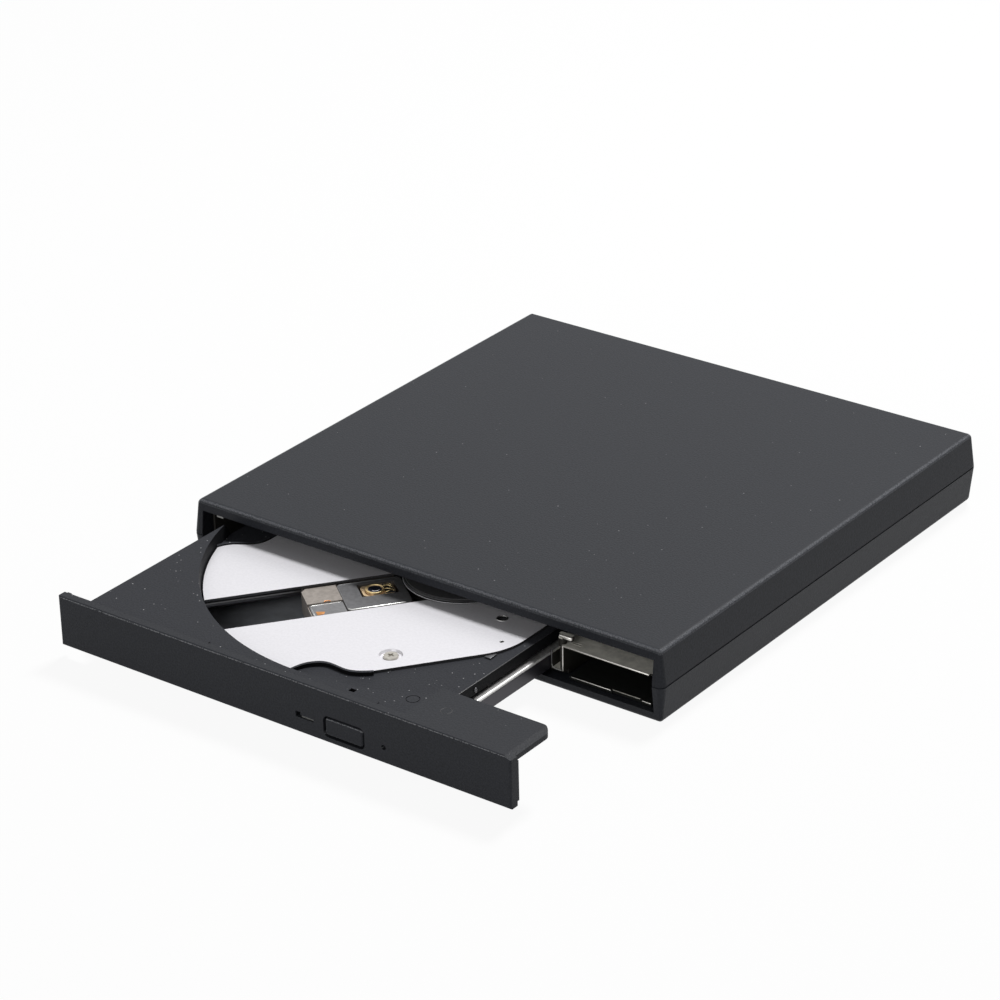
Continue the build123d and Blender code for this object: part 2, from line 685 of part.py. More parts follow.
with BuildPart() as tray:
    slab(tray_level, (tray_left, tray_right), (tray_front, tray_back), (tray_under_up, rim_up))
    slab(tray_level, (tray_left + tray_skin, tray_side - tray_skin),
         (tray_front + front_skin, tray_back + tray_skin),
         (tray_under_up, floor_up - floor_thick), Mode.SUBTRACT)
    # room for the rail under the overhanging right edge
    slab(tray_level, (tray_side, tray_right + tray_skin), (tray_front - tray_skin, tray_back + tray_skin),
         (0, overhang_up), Mode.SUBTRACT)
    with BuildSketch(spindle_level(rim_up)):
        Circle(recess_radius)
    with BuildSketch(spindle_level(floor_up)):
        Circle(recess_radius - recess_slant)
    loft(mode=Mode.SUBTRACT)
    # window for the pickup, kept inside the tray's walls, and its tunnel below the rim
    with BuildSketch(feed_level(tray_under_up)):
        with Locations(((window_back + window_front) / 2, (window_near + window_far) / 2)):
            Rectangle(window_front - window_back, window_far - window_near)
        tray_mid = feed_level(0).to_local_coords(
            Vector((tray_left + tray_side) / 2, (tray_front + front_skin + tray_back) / 2 - tray_out, 0))
        with Locations((tray_mid.X, tray_mid.Y)):
            Rectangle(tray_side - tray_left - 2 * tray_skin, tray_back - tray_front - front_skin,
                      rotation=-feed_heading, mode=Mode.INTERSECT)
    extrude(amount=tunnel_up - tray_under_up, mode=Mode.SUBTRACT)
    post(tray_level, dampers, damper_radius + damper_wall + dimple_depth, (tray_under_up, floor_up))
    post(tray_level, dampers, damper_radius + dimple_depth, (damper_seat_up, floor_up), Mode.SUBTRACT)
    post(tray_level, dampers, plate_screw_shank + screw_gap, (tray_under_up, floor_up), Mode.SUBTRACT)
    post(tray_level, board_spots, board_post, (main_board_up + board_thick, floor_up - floor_thick))
    slab(tray_level, (tray_side - tray_skin, right_tongue_end), (tongue_front, tray_back),
         (tongue_low, tongue_high))
    slab(tray_level, (left_tongue_end, tray_left + tray_skin), (tongue_front, tray_back),
         (tongue_low, tongue_high))
    post(tray_level, [latch_pivot], latch_pin_radius + tray_skin / 2,
         (latch_up + latch_thick + slide_gap, floor_up - floor_thick))
    post(tray_level, [latch_pivot], latch_pin_radius, (tray_under_up, floor_up - floor_thick))
    # raised edges along the wavy parts of the mechanism plate's outline
    for run, side, ends in ((wave, wave_side, wave_ends), (left_run, left_side, left_ends)):
        inner = [(x + side[0] * edge_gap, y + side[1] * edge_gap) for x, y in run]
        outer = [(x + side[0] * edge_far, y + side[1] * edge_far) for x, y in run]
        with BuildSketch(spindle_level(floor_up)) as edge:
            with BuildLine():
                Spline(*inner, tangents=ends)
                Line(inner[-1], outer[-1])
                Spline(*outer, tangents=ends)
                Line(outer[0], inner[0])
            make_face()
        extrude(edge.sketch, amount=plate_thick + edge_stand)
    # small moulding marks on the front of the rim
    slab(tray_level, (rim_hole_at[0] - rim_hole[0] / 2, rim_hole_at[0] + rim_hole[0] / 2),
         (rim_hole_at[1] - rim_hole[1] / 2, rim_hole_at[1] + rim_hole[1] / 2),
         (floor_up, rim_up), Mode.SUBTRACT)
    post(tray_level, rim_knobs, rim_hole[1] / 2, (floor_up, rim_up + rim_mark_depth))
    with BuildSketch(tray_level(rim_up)) as mark:
        with Locations((mark_x, mark_y)):
            Circle(rim_mark_radius)
            Circle(rim_mark_radius - rim_mark_depth, mode=Mode.SUBTRACT)
    extrude(mark.sketch, amount=-rim_mark_depth, mode=Mode.SUBTRACT)
    bezel_cut(button_x, button_up, button_width + 6 * button_gap, button_height + 6 * button_gap)
    bezel_cut(lamp_x, lamp_up, lamp_width + 2 * lamp_gap, lamp_height + 2 * lamp_gap)
    bezel_cut(lamp_x - (lamp_width + lamp_hole) / 2, lamp_up + lamp_inset, lamp_hole, lamp_hole)
    bezel_cut(pin_hole_x, pin_hole_up, 2 * pin_hole_radius, 2 * pin_hole_radius)
save("tray", tray)

# Mechanism plate: bright sheet with the pickup slot, spindle hole and pressed screw dimples
with BuildPart() as mechanism_plate:
    with BuildSketch(spindle_level(floor_up)) as plate_outline:
        with BuildLine():
            Line(back_left, left_run[0])
            Spline(*left_run, tangents=left_ends)
            ThreePointArc(left_run[-1], mid_arc, wave[0])
            Spline(*wave, tangents=wave_ends)
            Line(wave[-1], front_right)
            Line(front_right, back_right)
            Line(back_right, back_left)
        make_face()
        fillet(plate_outline.vertices().sort_by(Axis.Y)[-2:], plate_corner)
        fillet(plate_outline.vertices().sort_by_distance(front_right)[0], 3.4 * plate_corner)
    extrude(amount=plate_thick)
    slab(feed_level, (0, 2 * recess_radius), (-slot_near, slot_far), (0, plate_up + sheet), Mode.SUBTRACT)
    post(spindle_level, [(0, 0)], spindle_hole, (floor_up, plate_up), Mode.SUBTRACT)
    for spot, radius in plate_holes:
        post(spindle_level, [spot], radius, (floor_up, plate_up), Mode.SUBTRACT)
    # a small tab under the front edge
    slab(spindle_level, (edge_tab[0][0], edge_tab[1][0]), (edge_tab[0][1], edge_tab[1][1]),
         (floor_up, floor_up + plate_thick / 2))
    # pressed cups for the damper screws
    post(spindle_level, damper_spots, dimple_radius, (plate_up - dimple_depth - plate_thick, plate_up))
    for spot in damper_spots:
        with BuildSketch(spindle_level(plate_up)):
            with Locations(spot):
                Circle(dimple_radius - plate_thick / 4)
        extrude(amount=-dimple_depth, taper=30, mode=Mode.SUBTRACT)
    post(spindle_level, damper_spots, plate_screw_shank + screw_gap, (0, plate_up), Mode.SUBTRACT)
save("mechanism_plate", mechanism_plate)

# Screws in the dimples, with a cross recess, and the rubber dampers below
cup_low = plate_up - dimple_depth - plate_thick
with BuildPart() as plate_screws:
    post(tray_level, dampers, plate_screw_head, (plate_up - dimple_depth, plate_up - screw_gap))
    chamfer(plate_screws.edges().group_by(Axis.Z)[-1], screw_gap * 3)
    post(tray_level, dampers, plate_screw_shank, (tray_under_up + sheet, plate_up - dimple_depth))
    for spot in dampers:
        for cross in ((0.8, 0.2), (0.2, 0.8)):
            slab(tray_level, (spot[0] - cross[0], spot[0] + cross[0]),
                 (spot[1] - cross[1], spot[1] + cross[1]),
                 (plate_up - dimple_depth / 2 - screw_gap, plate_up), Mode.SUBTRACT)
save("plate_screws", plate_screws)

with BuildPart() as damper_grommets:
    post(tray_level, dampers, damper_radius, (damper_seat_up, cup_low))
    post(tray_level, dampers, plate_screw_shank + screw_gap, (damper_seat_up, cup_low), Mode.SUBTRACT)
save("damper_grommets", damper_grommets)

# Spindle motor: base plate on posts below the mechanism plate, bush, coils
motor_deck = motor_base_up + motor_base_thick
base_far = screw_line - feed_motor_radius - rail_end_gap
with BuildPart() as motor_base:
    slab(feed_level, (motor_posts[0][0] - base_edge, bell_radius), (motor_posts[0][1] - base_edge, base_far),
         (motor_base_up, motor_deck), radius=base_edge)
    slab(feed_level, (motor_posts[2][0] - base_edge, motor_posts[2][0] + base_edge),
         (bell_radius - base_edge, motor_posts[2][1] + base_edge), (motor_base_up, motor_deck))
    post(feed_level, motor_posts, motor_post_radius, (motor_deck, floor_up))
    post(feed_level, [(0, 0)], bush_radius, (motor_base_up, motor_deck), Mode.SUBTRACT)
save("motor_base", motor_base)

bush_top = turntable_up - turntable_thick - bell_wall - bush_gap
with BuildPart() as spindle_bush:
    post(feed_level, [(0, 0)], bush_radius, (motor_base_up, bush_top))
    post(feed_level, [(0, 0)], shaft_radius + shaft_gap, (motor_base_up + sheet, bush_top), Mode.SUBTRACT)
save("spindle_bush", spindle_bush)

coil_count = 9
coil_inner = 5.0
coil_gap = 1.1
coil_outer = bell_radius - bell_wall - coil_gap
coil_width = 2.4
coil_up = 5.0
core_up = 5.6
with BuildPart() as stator_coils:
    post(feed_level, [(0, 0)], coil_inner, (motor_deck, core_up))
    for step in range(coil_count):
        turn = radians(360 / coil_count * step)
        with BuildSketch(feed_level(motor_deck)) as pole:
            with Locations(Location((cos(turn) * coil_outer / 2, sin(turn) * coil_outer / 2, 0),
                                    (0, 0, degrees(turn)))):
                Rectangle(coil_outer, coil_width)
        extrude(pole.sketch, amount=coil_up - motor_deck)
    post(feed_level, [(0, 0)], bush_radius, (motor_deck, core_up), Mode.SUBTRACT)
save("stator_coils", stator_coils)

# Rotor: steel bell on the shaft, turntable with its rubber pad, hub and sprung claws
with BuildPart() as rotor_bell:
    post(spindle_level, [(0, 0)], bell_radius, (bell_low_up, turntable_up - turntable_thick))
    post(spindle_level, [(0, 0)], bell_radius - bell_wall,
         (bell_low_up, turntable_up - turntable_thick - bell_wall), Mode.SUBTRACT)
    post(spindle_level, [(0, 0)], shaft_radius, (bell_low_up, turntable_up), Mode.SUBTRACT)
save("rotor_bell", rotor_bell)

with BuildPart() as spindle_shaft:
    post(spindle_level, [(0, 0)], shaft_radius, (motor_base_up + sheet + shaft_gap, turntable_up))
save("spindle_shaft", spindle_shaft)

pad_up = turntable_up + pad_thick
with BuildPart() as turntable:
    post(spindle_level, [(0, 0)], turntable_radius, (turntable_up - turntable_thick, turntable_up))
    chamfer(turntable.edges().group_by(Axis.Z)[-1], turntable_thick / 4)
    post(spindle_level, [(0, 0)], shaft_radius, (bell_low_up, turntable_up), Mode.SUBTRACT)
save("turntable", turntable)

with BuildPart() as turntable_pad:
    post(spindle_level, [(0, 0)], turntable_radius - turntable_thick / 2, (turntable_up, pad_up))
    post(spindle_level, [(0, 0)], pad_inner, (turntable_up, pad_up), Mode.SUBTRACT)
save("turntable_pad", turntable_pad)

claw_up = pad_up + 1.0
claw_slot = claw_width + 2 * slide_gap
with BuildPart() as disc_hub:
    post(spindle_level, [(0, 0)], hub_radius, (turntable_up, hub_up))
    chamfer(disc_hub.edges().group_by(Axis.Z)[-1], (hub_up - claw_up) / 2)
    for step in range(claw_count):
        turn = 360 / claw_count * step
        with BuildSketch(spindle_level(claw_up - slide_gap)) as way:
            with Locations(Location((cos(radians(turn)) * hub_radius, sin(radians(turn)) * hub_radius, 0),
                                    (0, 0, turn))):
                Rectangle(hub_radius, claw_slot)
        extrude(way.sketch, amount=claw_height + 2 * slide_gap, mode=Mode.SUBTRACT)
save("disc_hub", disc_hub)

for step in range(claw_count):
    turn = 360 / claw_count * step
    claw_inner = hub_radius / 2 + claw_travel + slide_gap
    claw_outer = hub_radius + claw_reach
    with BuildPart() as claw:
        with BuildSketch(spindle_level(claw_up)):
            with Locations(Location((cos(radians(turn)) * (claw_inner + claw_outer) / 2,
                                     sin(radians(turn)) * (claw_inner + claw_outer) / 2, 0), (0, 0, turn))):
                RectangleRounded(claw_outer - claw_inner, claw_width, claw_width / 4)
        extrude(amount=claw_height)
    save(f"disc_claw_{step + 1}", claw)

# Pickup: cast body on two rods, cover plates, lens on its holder, flex and screw follower
rod_hole = rod_radius + shaft_gap
arm_near = slot_near - sled_gap
arm_far = slot_far - sled_gap
arm_up = (rod_up - arm_half, rod_up + arm_half)


def lens_space(room, up):
    slab(feed_level, (lens_block[0] - room, lens_block[1] + room),
         (lens_block_across[0] - room, lens_block_across[1] + room), up, Mode.SUBTRACT)


with BuildPart() as sled_body:
    with BuildSketch(feed_level(sled_low_up)) as block:
        Polygon((sled_inner, -arm_near), (sled_outer - sled_near_corner, -arm_near),
                (sled_outer, -arm_near + sled_near_corner), (sled_outer, arm_far - sled_far_corner),
                (sled_outer - sled_far_corner, arm_far), (sled_inner, arm_far), align=None)
    extrude(amount=sled_deck_up - sled_low_up)
    with BuildSketch(feed_level(sled_deck_up)) as raised_block:
        Polygon((sled_mid, -arm_near), (sled_outer - sled_near_corner, -arm_near),
                (sled_outer, -arm_near + sled_near_corner), (sled_outer, sled_split - slide_gap),
                (sled_mid, sled_split - slide_gap), align=None)
    extrude(amount=sled_top_up - sled_deck_up)
    slab(feed_level, (sled_inner + arm_inset, sled_outer - arm_inset),
         (-rod_near - rod_hole - arm_inset, -arm_near), arm_up)
    slab(feed_level, (sled_inner + arm_inset, sled_mid - arm_inset),
         (arm_far, rod_far + rod_hole + arm_inset), arm_up)
    rod_along_feed((sled_inner, sled_outer), -rod_near, rod_up, rod_hole, Mode.SUBTRACT)
    rod_along_feed((sled_inner, sled_outer), rod_far, rod_up, rod_hole, Mode.SUBTRACT)
    lens_space(lens_well_room, (sled_low_up + lens_well_floor, sled_deck_up))
save("sled_body", sled_body)

cover_thick = 0.3
cover_top = sled_top_up - slide_gap
cover_far = arm_far - sled_near_corner
with BuildPart() as sled_cover:
    slab(feed_level, (sled_inner, sled_mid - slide_gap), (-arm_near, cover_far), (sled_deck_up, cover_top),
         radius=sled_near_corner)
    slab(feed_level, (sled_inner - cover_thick, sled_mid - slide_gap - 2 * cover_thick),
         (-arm_near + 2 * cover_thick, cover_far - 2 * cover_thick),
         (sled_deck_up, cover_top - cover_thick), Mode.SUBTRACT)
    lens_space(lens_window_room, (sled_deck_up, sled_top_up))
save("sled_cover", sled_cover)

laser_end = sled_outer - sled_gap
laser_far = arm_far - sled_far_corner
with BuildPart() as laser_cover:
    slab(feed_level, (sled_mid + slide_gap, laser_end), (sled_split, laser_far),
         (sled_deck_up, sled_deck_up + cover_thick), radius=sled_gap)
save("laser_cover", laser_cover)

with BuildPart() as sled_flex:
    slab(feed_level, (laser_end - 2.5 * sled_far_corner, laser_end - sled_far_corner / 2),
         (laser_far + slide_gap, arm_far - slide_gap), (sled_deck_up, sled_deck_up + ribbon_thick))
save("sled_flex", sled_flex)

holder_low = sled_low_up + lens_well_floor + focus_travel + slide_gap
holder_top = cover_top - lens_ring
lens_top = holder_top + 2 * lens_ring
lens_bore = lens_radius - lens_ring
with BuildPart() as lens_holder:
    slab(feed_level, lens_block, lens_block_across, (holder_low, holder_top), radius=lens_radius / 2)
    post(feed_level, [(lens_reach, 0)], lens_radius, (holder_top, lens_top))
    post(feed_level, [(lens_reach, 0)], lens_bore, (holder_low, lens_top), Mode.SUBTRACT)
save("lens_holder", lens_holder)

with BuildPart() as objective_lens:
    post(feed_level, [(lens_reach, 0)], lens_bore, (holder_top - lens_bore / 2, lens_top))
    fillet(objective_lens.edges().group_by(Axis.Z)[-1], lens_ring)
save("objective_lens", objective_lens)

follower_reach = screw_line - screw_radius - slide_gap
with BuildPart() as screw_follower:
    slab(feed_level, follower_along, (rod_far + rod_hole + arm_inset, follower_reach),
         (screw_up - follower_half, screw_up + follower_half))
save("screw_follower", screw_follower)

# Guide rods in holders that hang from the plate and the tray, with the lead screw's end bracket
with BuildPart() as guide_rods:
    rod_along_feed((rod_start, near_rod_end), -rod_near, rod_up, rod_radius)
    rod_along_feed((rod_start, far_rod_end), rod_far, rod_up, rod_radius)
save("guide_rods", guide_rods)

holder_spots = [(rod_start, -rod_near), (near_rod_end - holder_long, -rod_near),
                (rod_start, rod_far), (far_rod_end - holder_long, rod_far)]
with BuildPart() as rod_holders:
    for start, line in holder_spots:
        roof_up = floor_up if start < recess_radius / 2 else tunnel_up
        slab(feed_level, (start, start + holder_long), (line - arm_half, line + arm_half),
             (rod_up - arm_half, roof_up))
    rod_along_feed((rod_start, near_rod_end), -rod_near, rod_up, rod_radius, Mode.SUBTRACT)
    rod_along_feed((rod_start, far_rod_end), rod_far, rod_up, rod_radius, Mode.SUBTRACT)
    slab(feed_level, (bracket_start, lead_screw_end), (screw_line - arm_half, screw_line + arm_half),
         (screw_up - arm_half, floor_up))
    rod_along_feed((bracket_start, lead_screw_end), screw_line, screw_up, screw_neck + shaft_gap,
                   Mode.SUBTRACT)
save("rod_holders", rod_holders)

# Feed motor and its lead screw, with grooves for the follower
saddle_half = feed_motor_radius / 2
screw_sunk = 3.0
with BuildPart() as feed_motor:
    rod_along_feed((-feed_motor_length, 0), screw_line, screw_up, feed_motor_radius)
    slab(feed_level, (-feed_motor_length, 0), (screw_line - saddle_half, screw_line + saddle_half),
         (screw_up, floor_up))
    rod_along_feed((-screw_sunk, 0), screw_line, screw_up, screw_neck + shaft_gap, Mode.SUBTRACT)
save("feed_motor", feed_motor)

thread_start = end_gap
thread_end = bracket_start - slide_gap
with BuildPart() as lead_screw:
    rod_along_feed((slide_gap - screw_sunk, lead_screw_end), screw_line, screw_up, screw_neck)
    rod_along_feed((thread_start, thread_end), screw_line, screw_up, screw_radius)
    for turn in range(1, int((thread_end - thread_start) / screw_pitch)):
        with BuildSketch(feed_section(thread_start + turn * screw_pitch, screw_line, screw_up)) as groove:
            Circle(screw_radius + thread_depth)
            Circle(screw_radius - thread_depth, mode=Mode.SUBTRACT)
        extrude(groove.sketch, amount=screw_pitch / 3, mode=Mode.SUBTRACT)
save("lead_screw", lead_screw)

# Boards, switch and latch in the tray
under_thick = 0.3
ribbon_x = (ribbon_left, ribbon_left + ribbon_width)
ribbon_low = sheet + liner_gap
ribbon_high = tray_under_up - under_thick - liner_gap
under_right = latch_pin_x - latch_pin_radius - latch_arm
with BuildPart() as tray_under_cover:
    slab(tray_level, (tray_left + sheet, under_right), (board_behind, main_board_front - board_inset),
         (tray_under_up - under_thick, tray_under_up))
save("tray_under_cover", tray_under_cover)

with BuildPart() as main_board:
    slab(tray_level, (board_posts_x[0] - board_inset, board_posts_x[1] + board_inset),
         (main_board_front, tray_back - board_inset), (main_board_up, main_board_up + board_thick))
save("main_board", main_board)

chip_top = main_board_up + 2 * board_thick
chip_y = (main_board_front + tray_back - board_inset) / 2
chip_places = ((0.33, 7.0), (0.57, 4.0), (0.8, 5.5))
with BuildPart() as main_board_chips:
    for share, chip_half in chip_places:
        chip_x = board_posts_x[0] + share * (board_posts_x[1] - board_posts_x[0])
        slab(tray_level, (chip_x - chip_half, chip_x + chip_half), (chip_y - chip_half, chip_y + chip_half),
             (chip_top - board_thick, chip_top))
    slab(tray_level, (ribbon_x[0] - board_inset / 3, ribbon_x[1] + board_inset / 3),
         (tray_back - 3 * board_inset, tray_back - 2 * board_inset), (ribbon_high, main_board_up))
save("main_board_chips", main_board_chips)

front_board_top = tray_under_up + board_thick
front_board_depth = 7.0
switch_half = 2.2
switch_front = bezel_back + button_flange + button_stem + button_travel + slide_gap
with BuildPart() as front_board:
    slab(tray_level, (lamp_x - lamp_width, button_x + button_half),
         (board_behind, board_behind + front_board_depth), (tray_under_up, front_board_top))
save("front_board", front_board)

with BuildPart() as eject_switch:
    slab(tray_level, (button_x - switch_half, button_x + switch_half),
         (switch_front, switch_front + 2 * switch_half - board_thick),
         (front_board_top, button_up + button_stem))
save("eject_switch", eject_switch)

solenoid_right = latch_pivot[0] - latch_arm - solenoid_gap
with BuildPart() as latch_solenoid:
    slab(tray_level, (solenoid_right - solenoid_size[0], solenoid_right),
         (latch_pin_y, latch_pin_y + solenoid_size[1]), (tray_under_up, tray_under_up + solenoid_size[2]),
         radius=board_thick)
save("latch_solenoid", latch_solenoid)

catch_y = latch_pin_y + latch_pin_radius + latch_clear
hook_up = (latch_up, latch_up + latch_thick)
with BuildPart() as latch_hook:
    slab(tray_level, (latch_pivot[0] - latch_arm, latch_pivot[0] + latch_arm),
         (catch_y, latch_pivot[1]), hook_up)
    post(tray_level, [latch_pivot], latch_arm, hook_up)
    slab(tray_level, (latch_pivot[0] - latch_arm, latch_pin_x - latch_pin_radius - latch_clear),
         (catch_y, catch_y + catch_long), hook_up)
    post(tray_level, [latch_pivot], latch_pin_radius + shaft_gap, hook_up, Mode.SUBTRACT)
save("latch_hook", latch_hook)

with BuildPart() as latch_pin:
    post(drive_level, [(latch_pin_x, latch_pin_y)], latch_pin_radius, (sheet, latch_up + latch_thick))
save("latch_pin", latch_pin)

# Drive's rear board with its connector, and the bridge board with its plug and sockets
rear_front = tray_back + board_thick
connector_top = 6.0
with BuildPart() as rear_board:
    slab(drive_level, (board_posts_x[0], board_posts_x[1]), (rear_front, chassis_back - sheet),
         (sheet, sheet + board_thick))
save("rear_board", rear_board)

plug_half = connector_half - board_thick
with BuildPart() as drive_connector:
    slab(drive_level, (-plug_half, plug_half), (rear_front + board_thick, chassis_back),
         (sheet + board_thick, connector_top))
save("drive_connector", drive_connector)

arm_left = -connector_half - board_thick
arm_front = chassis_back + socket_gap
board_back = cavity_back - socket_gap
with BuildPart() as bridge_board:
    slab(case_level, (bridge_left, bridge_right), (chassis_front, arm_front), (board_z, board_top))
    slab(case_level, (arm_left, usb_x + usb_width / 2), (arm_front, board_back), (board_z, board_top))
    slab(case_level, (bridge_right - board_notch[0], bridge_right - board_notch[1]),
         (chassis_front - sheet, chassis_front + board_notch[2]), (board_z, board_top), Mode.SUBTRACT)
save("bridge_board", bridge_board)

with BuildPart() as bridge_plug:
    slab(case_level, (-plug_half, plug_half), (chassis_back, board_back),
         (board_top, drive_z + connector_top))
save("bridge_plug", bridge_plug)

bridge_chip = (5.0, 10.0, 1.4)
bridge_coil = (4.0, 4.5, 3.0)
capacitor_radius = 2.0
chip_front = case_back - usb_depth - 4 * bridge_chip[1]
coil_front = chip_front + 1.5 * bridge_chip[1]
with BuildPart() as bridge_chips:
    slab(case_level, (bridge_left + bridge_chip[0], bridge_left + bridge_chip[0] + bridge_chip[1]),
         (chip_front, chip_front + bridge_chip[1]), (board_top, board_top + bridge_chip[2]))
    slab(case_level, (bridge_left + bridge_coil[0], bridge_left + bridge_coil[0] + bridge_coil[1]),
         (coil_front, coil_front + 2 * bridge_coil[1]), (board_top, board_top + bridge_coil[2]))
    for row in (0, 1):
        post(case_level, [(bridge_right - 2.5 * capacitor_radius, coil_front + 3 * capacitor_radius * row)],
             capacitor_radius, (board_top, board_top + 2 * capacitor_radius))
save("bridge_chips", bridge_chips)

usb_front = case_back - socket_inset
with BuildPart() as usb_socket:
    slab(case_level, (usb_x - usb_width / 2, usb_x + usb_width / 2), (usb_front - usb_depth, usb_front),
         (board_top, board_top + usb_height))
    slab(case_level, (usb_x - usb_width / 2 + usb_shell, usb_x + usb_width / 2 - usb_shell),
         (usb_front - usb_depth + usb_shell, usb_front + usb_shell),
         (board_top + usb_shell, board_top + usb_height - usb_shell), Mode.SUBTRACT)
save("usb_socket", usb_socket)

with BuildPart() as usb_tongue:
    slab(case_level, (usb_x - usb_width / 4, usb_x + usb_width / 4),
         (usb_front - usb_depth + usb_shell, usb_front - 3 * usb_shell),
         (board_top + usb_height / 2, board_top + usb_height / 2 + 2 * usb_shell))
save("usb_tongue", usb_tongue)

jack_axis = board_top + jack_height / 2
with BuildPart() as dc_jack:
    slab(case_level, (jack_x - jack_width / 2, jack_x + jack_width / 2), (usb_front - jack_depth, usb_front),
         (board_top, board_top + jack_height))
    with BuildSketch(Plane(origin=(jack_x, usb_front, jack_axis), z_dir=(0, 1, 0))):
        Circle(jack_bore)
    extrude(amount=jack_floor - jack_depth, mode=Mode.SUBTRACT)
save("dc_jack", dc_jack)

with BuildPart() as dc_pin:
    with BuildSketch(Plane(origin=(jack_x, usb_front - jack_depth + jack_floor, jack_axis), z_dir=(0, 1, 0))):
        Circle(jack_pin)
    extrude(amount=jack_depth - jack_floor - 2 * jack_pin)
save("dc_pin", dc_pin)

# Flat ribbon between the rear board and the tray: a run on the pan with its fold, and a run under the tray
fold_y = main_board_front - tray_out - ribbon_width / 2
ribbon_end = tray_back - tray_out - 2 * board_inset
upper_low = ribbon_high - ribbon_thick
with BuildPart() as ribbon_lower:
    slab(drive_level, ribbon_x, (fold_y, rear_front), (ribbon_low, ribbon_low + ribbon_thick))
    slab(drive_level, ribbon_x, (fold_y - ribbon_thick, fold_y), (ribbon_low, upper_low))
save("ribbon_lower", ribbon_lower)

with BuildPart() as ribbon_upper:
    slab(drive_level, ribbon_x, (fold_y - ribbon_thick, ribbon_end), (upper_low, ribbon_high))
save("ribbon_upper", ribbon_upper)
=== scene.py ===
import json
import math

import bmesh
import bpy
from mathutils import Matrix, Vector


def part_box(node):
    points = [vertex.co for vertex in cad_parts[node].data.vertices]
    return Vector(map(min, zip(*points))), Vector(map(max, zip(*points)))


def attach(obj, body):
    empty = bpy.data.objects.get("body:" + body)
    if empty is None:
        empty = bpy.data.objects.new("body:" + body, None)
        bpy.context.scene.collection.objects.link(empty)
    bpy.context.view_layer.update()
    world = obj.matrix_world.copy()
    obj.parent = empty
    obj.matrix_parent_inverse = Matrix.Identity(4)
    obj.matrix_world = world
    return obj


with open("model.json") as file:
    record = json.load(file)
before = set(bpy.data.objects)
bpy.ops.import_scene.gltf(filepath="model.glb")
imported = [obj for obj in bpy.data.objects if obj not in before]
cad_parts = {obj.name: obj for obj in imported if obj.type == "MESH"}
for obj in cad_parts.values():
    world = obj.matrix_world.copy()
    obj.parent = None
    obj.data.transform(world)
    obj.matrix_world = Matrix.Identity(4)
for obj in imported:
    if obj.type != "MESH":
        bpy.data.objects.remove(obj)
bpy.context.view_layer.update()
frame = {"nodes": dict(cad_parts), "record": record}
nodes = frame["nodes"]
mm = 0.001
upward = Vector((0, 0, 1))
print("frame loaded")

# Finishes
evenly = (1, 1, 1)
toneStops = (0.35, 0.65)
# facing stops for the painted shade on upright faces
uprightShadeStops = ((0.15, 1), (0.35, 0))
levelStops = ((0.7, 0), (0.85, 1))
dustPatch = (0.35, 0.6)
toneDetail = 3.0
grainDetail = 2.0
plainShine = 0.5


def link(tree, source, output, target, socket):
    tree.links.new(source.outputs[output], target.inputs[socket])


def objectNoise(tree, scale, detail=toneDetail, stretch=evenly):
    coords = tree.nodes.new("ShaderNodeTexCoord")
    mapping = tree.nodes.new("ShaderNodeMapping")
    mapping.inputs["Scale"].default_value = stretch
    noise = tree.nodes.new("ShaderNodeTexNoise")
    noise.inputs["Scale"].default_value = scale
    noise.inputs["Detail"].default_value = detail
    link(tree, coords, "Object", mapping, "Vector")
    link(tree, mapping, "Vector", noise, "Vector")
    return noise


def mathNode(tree, operation):
    node = tree.nodes.new("ShaderNodeMath")
    node.operation = operation
    return node


def toneColour(tree, look):
    # two close shades of the base colour over the surface
    spread, scale = look["spread"]
    noise = objectNoise(tree, scale)
    ramp = tree.nodes.new("ShaderNodeValToRGB")
    for mark, place, factor in zip(ramp.color_ramp.elements, toneStops, (1 - spread, 1 + spread)):
        mark.position = place
        mark.color = (*(c * factor for c in look["base"]), 1)
    link(tree, noise, "Fac", ramp, "Fac")
    return ramp.outputs["Color"]


def facing(tree, stops):
    # a share from 0 to 1 by how far the surface faces up
    geometry = tree.nodes.new("ShaderNodeNewGeometry")
    parts = tree.nodes.new("ShaderNodeSeparateXYZ")
    ramp = tree.nodes.new("ShaderNodeValToRGB")
    marks = ramp.color_ramp.elements
    for mark, (place, share) in zip(marks, (stops[0], stops[-1])):
        mark.position = place
        mark.color = (share, share, share, 1)
    for place, share in stops[1:-1]:
        marks.new(place).color = (share, share, share, 1)
    link(tree, geometry, "Normal", parts, "Vector")
    link(tree, parts, "Z", ramp, "Fac")
    return ramp.outputs["Color"]


def times(tree, first, second):
    product = mathNode(tree, "MULTIPLY")
    tree.links.new(first, product.inputs[0])
    tree.links.new(second, product.inputs[1])
    return product.outputs[0]


def blend(tree, colour, share, shade):
    mix = tree.nodes.new("ShaderNodeMixRGB")
    tree.links.new(share, mix.inputs["Fac"])
    tree.links.new(colour, mix.inputs["Color1"])
    mix.inputs["Color2"].default_value = (*shade, 1)
    return mix.outputs["Color"]


def speckles(tree, scale, low, high):
    noise = objectNoise(tree, scale)
    spread = tree.nodes.new("ShaderNodeMapRange")
    spread.inputs["From Min"].default_value = low
    spread.inputs["From Max"].default_value = high
    link(tree, noise, "Fac", spread, "Value")
    return spread.outputs["Result"]


def dots(tree, scale, size):
    # sparse round specks, as dust lies
    coords = tree.nodes.new("ShaderNodeTexCoord")
    cells = tree.nodes.new("ShaderNodeTexVoronoi")
    cells.inputs["Scale"].default_value = scale
    near = mathNode(tree, "LESS_THAN")
    near.inputs[1].default_value = size
    link(tree, coords, "Object", cells, "Vector")
    tree.links.new(cells.outputs["Distance"], near.inputs[0])
    return near.outputs[0]


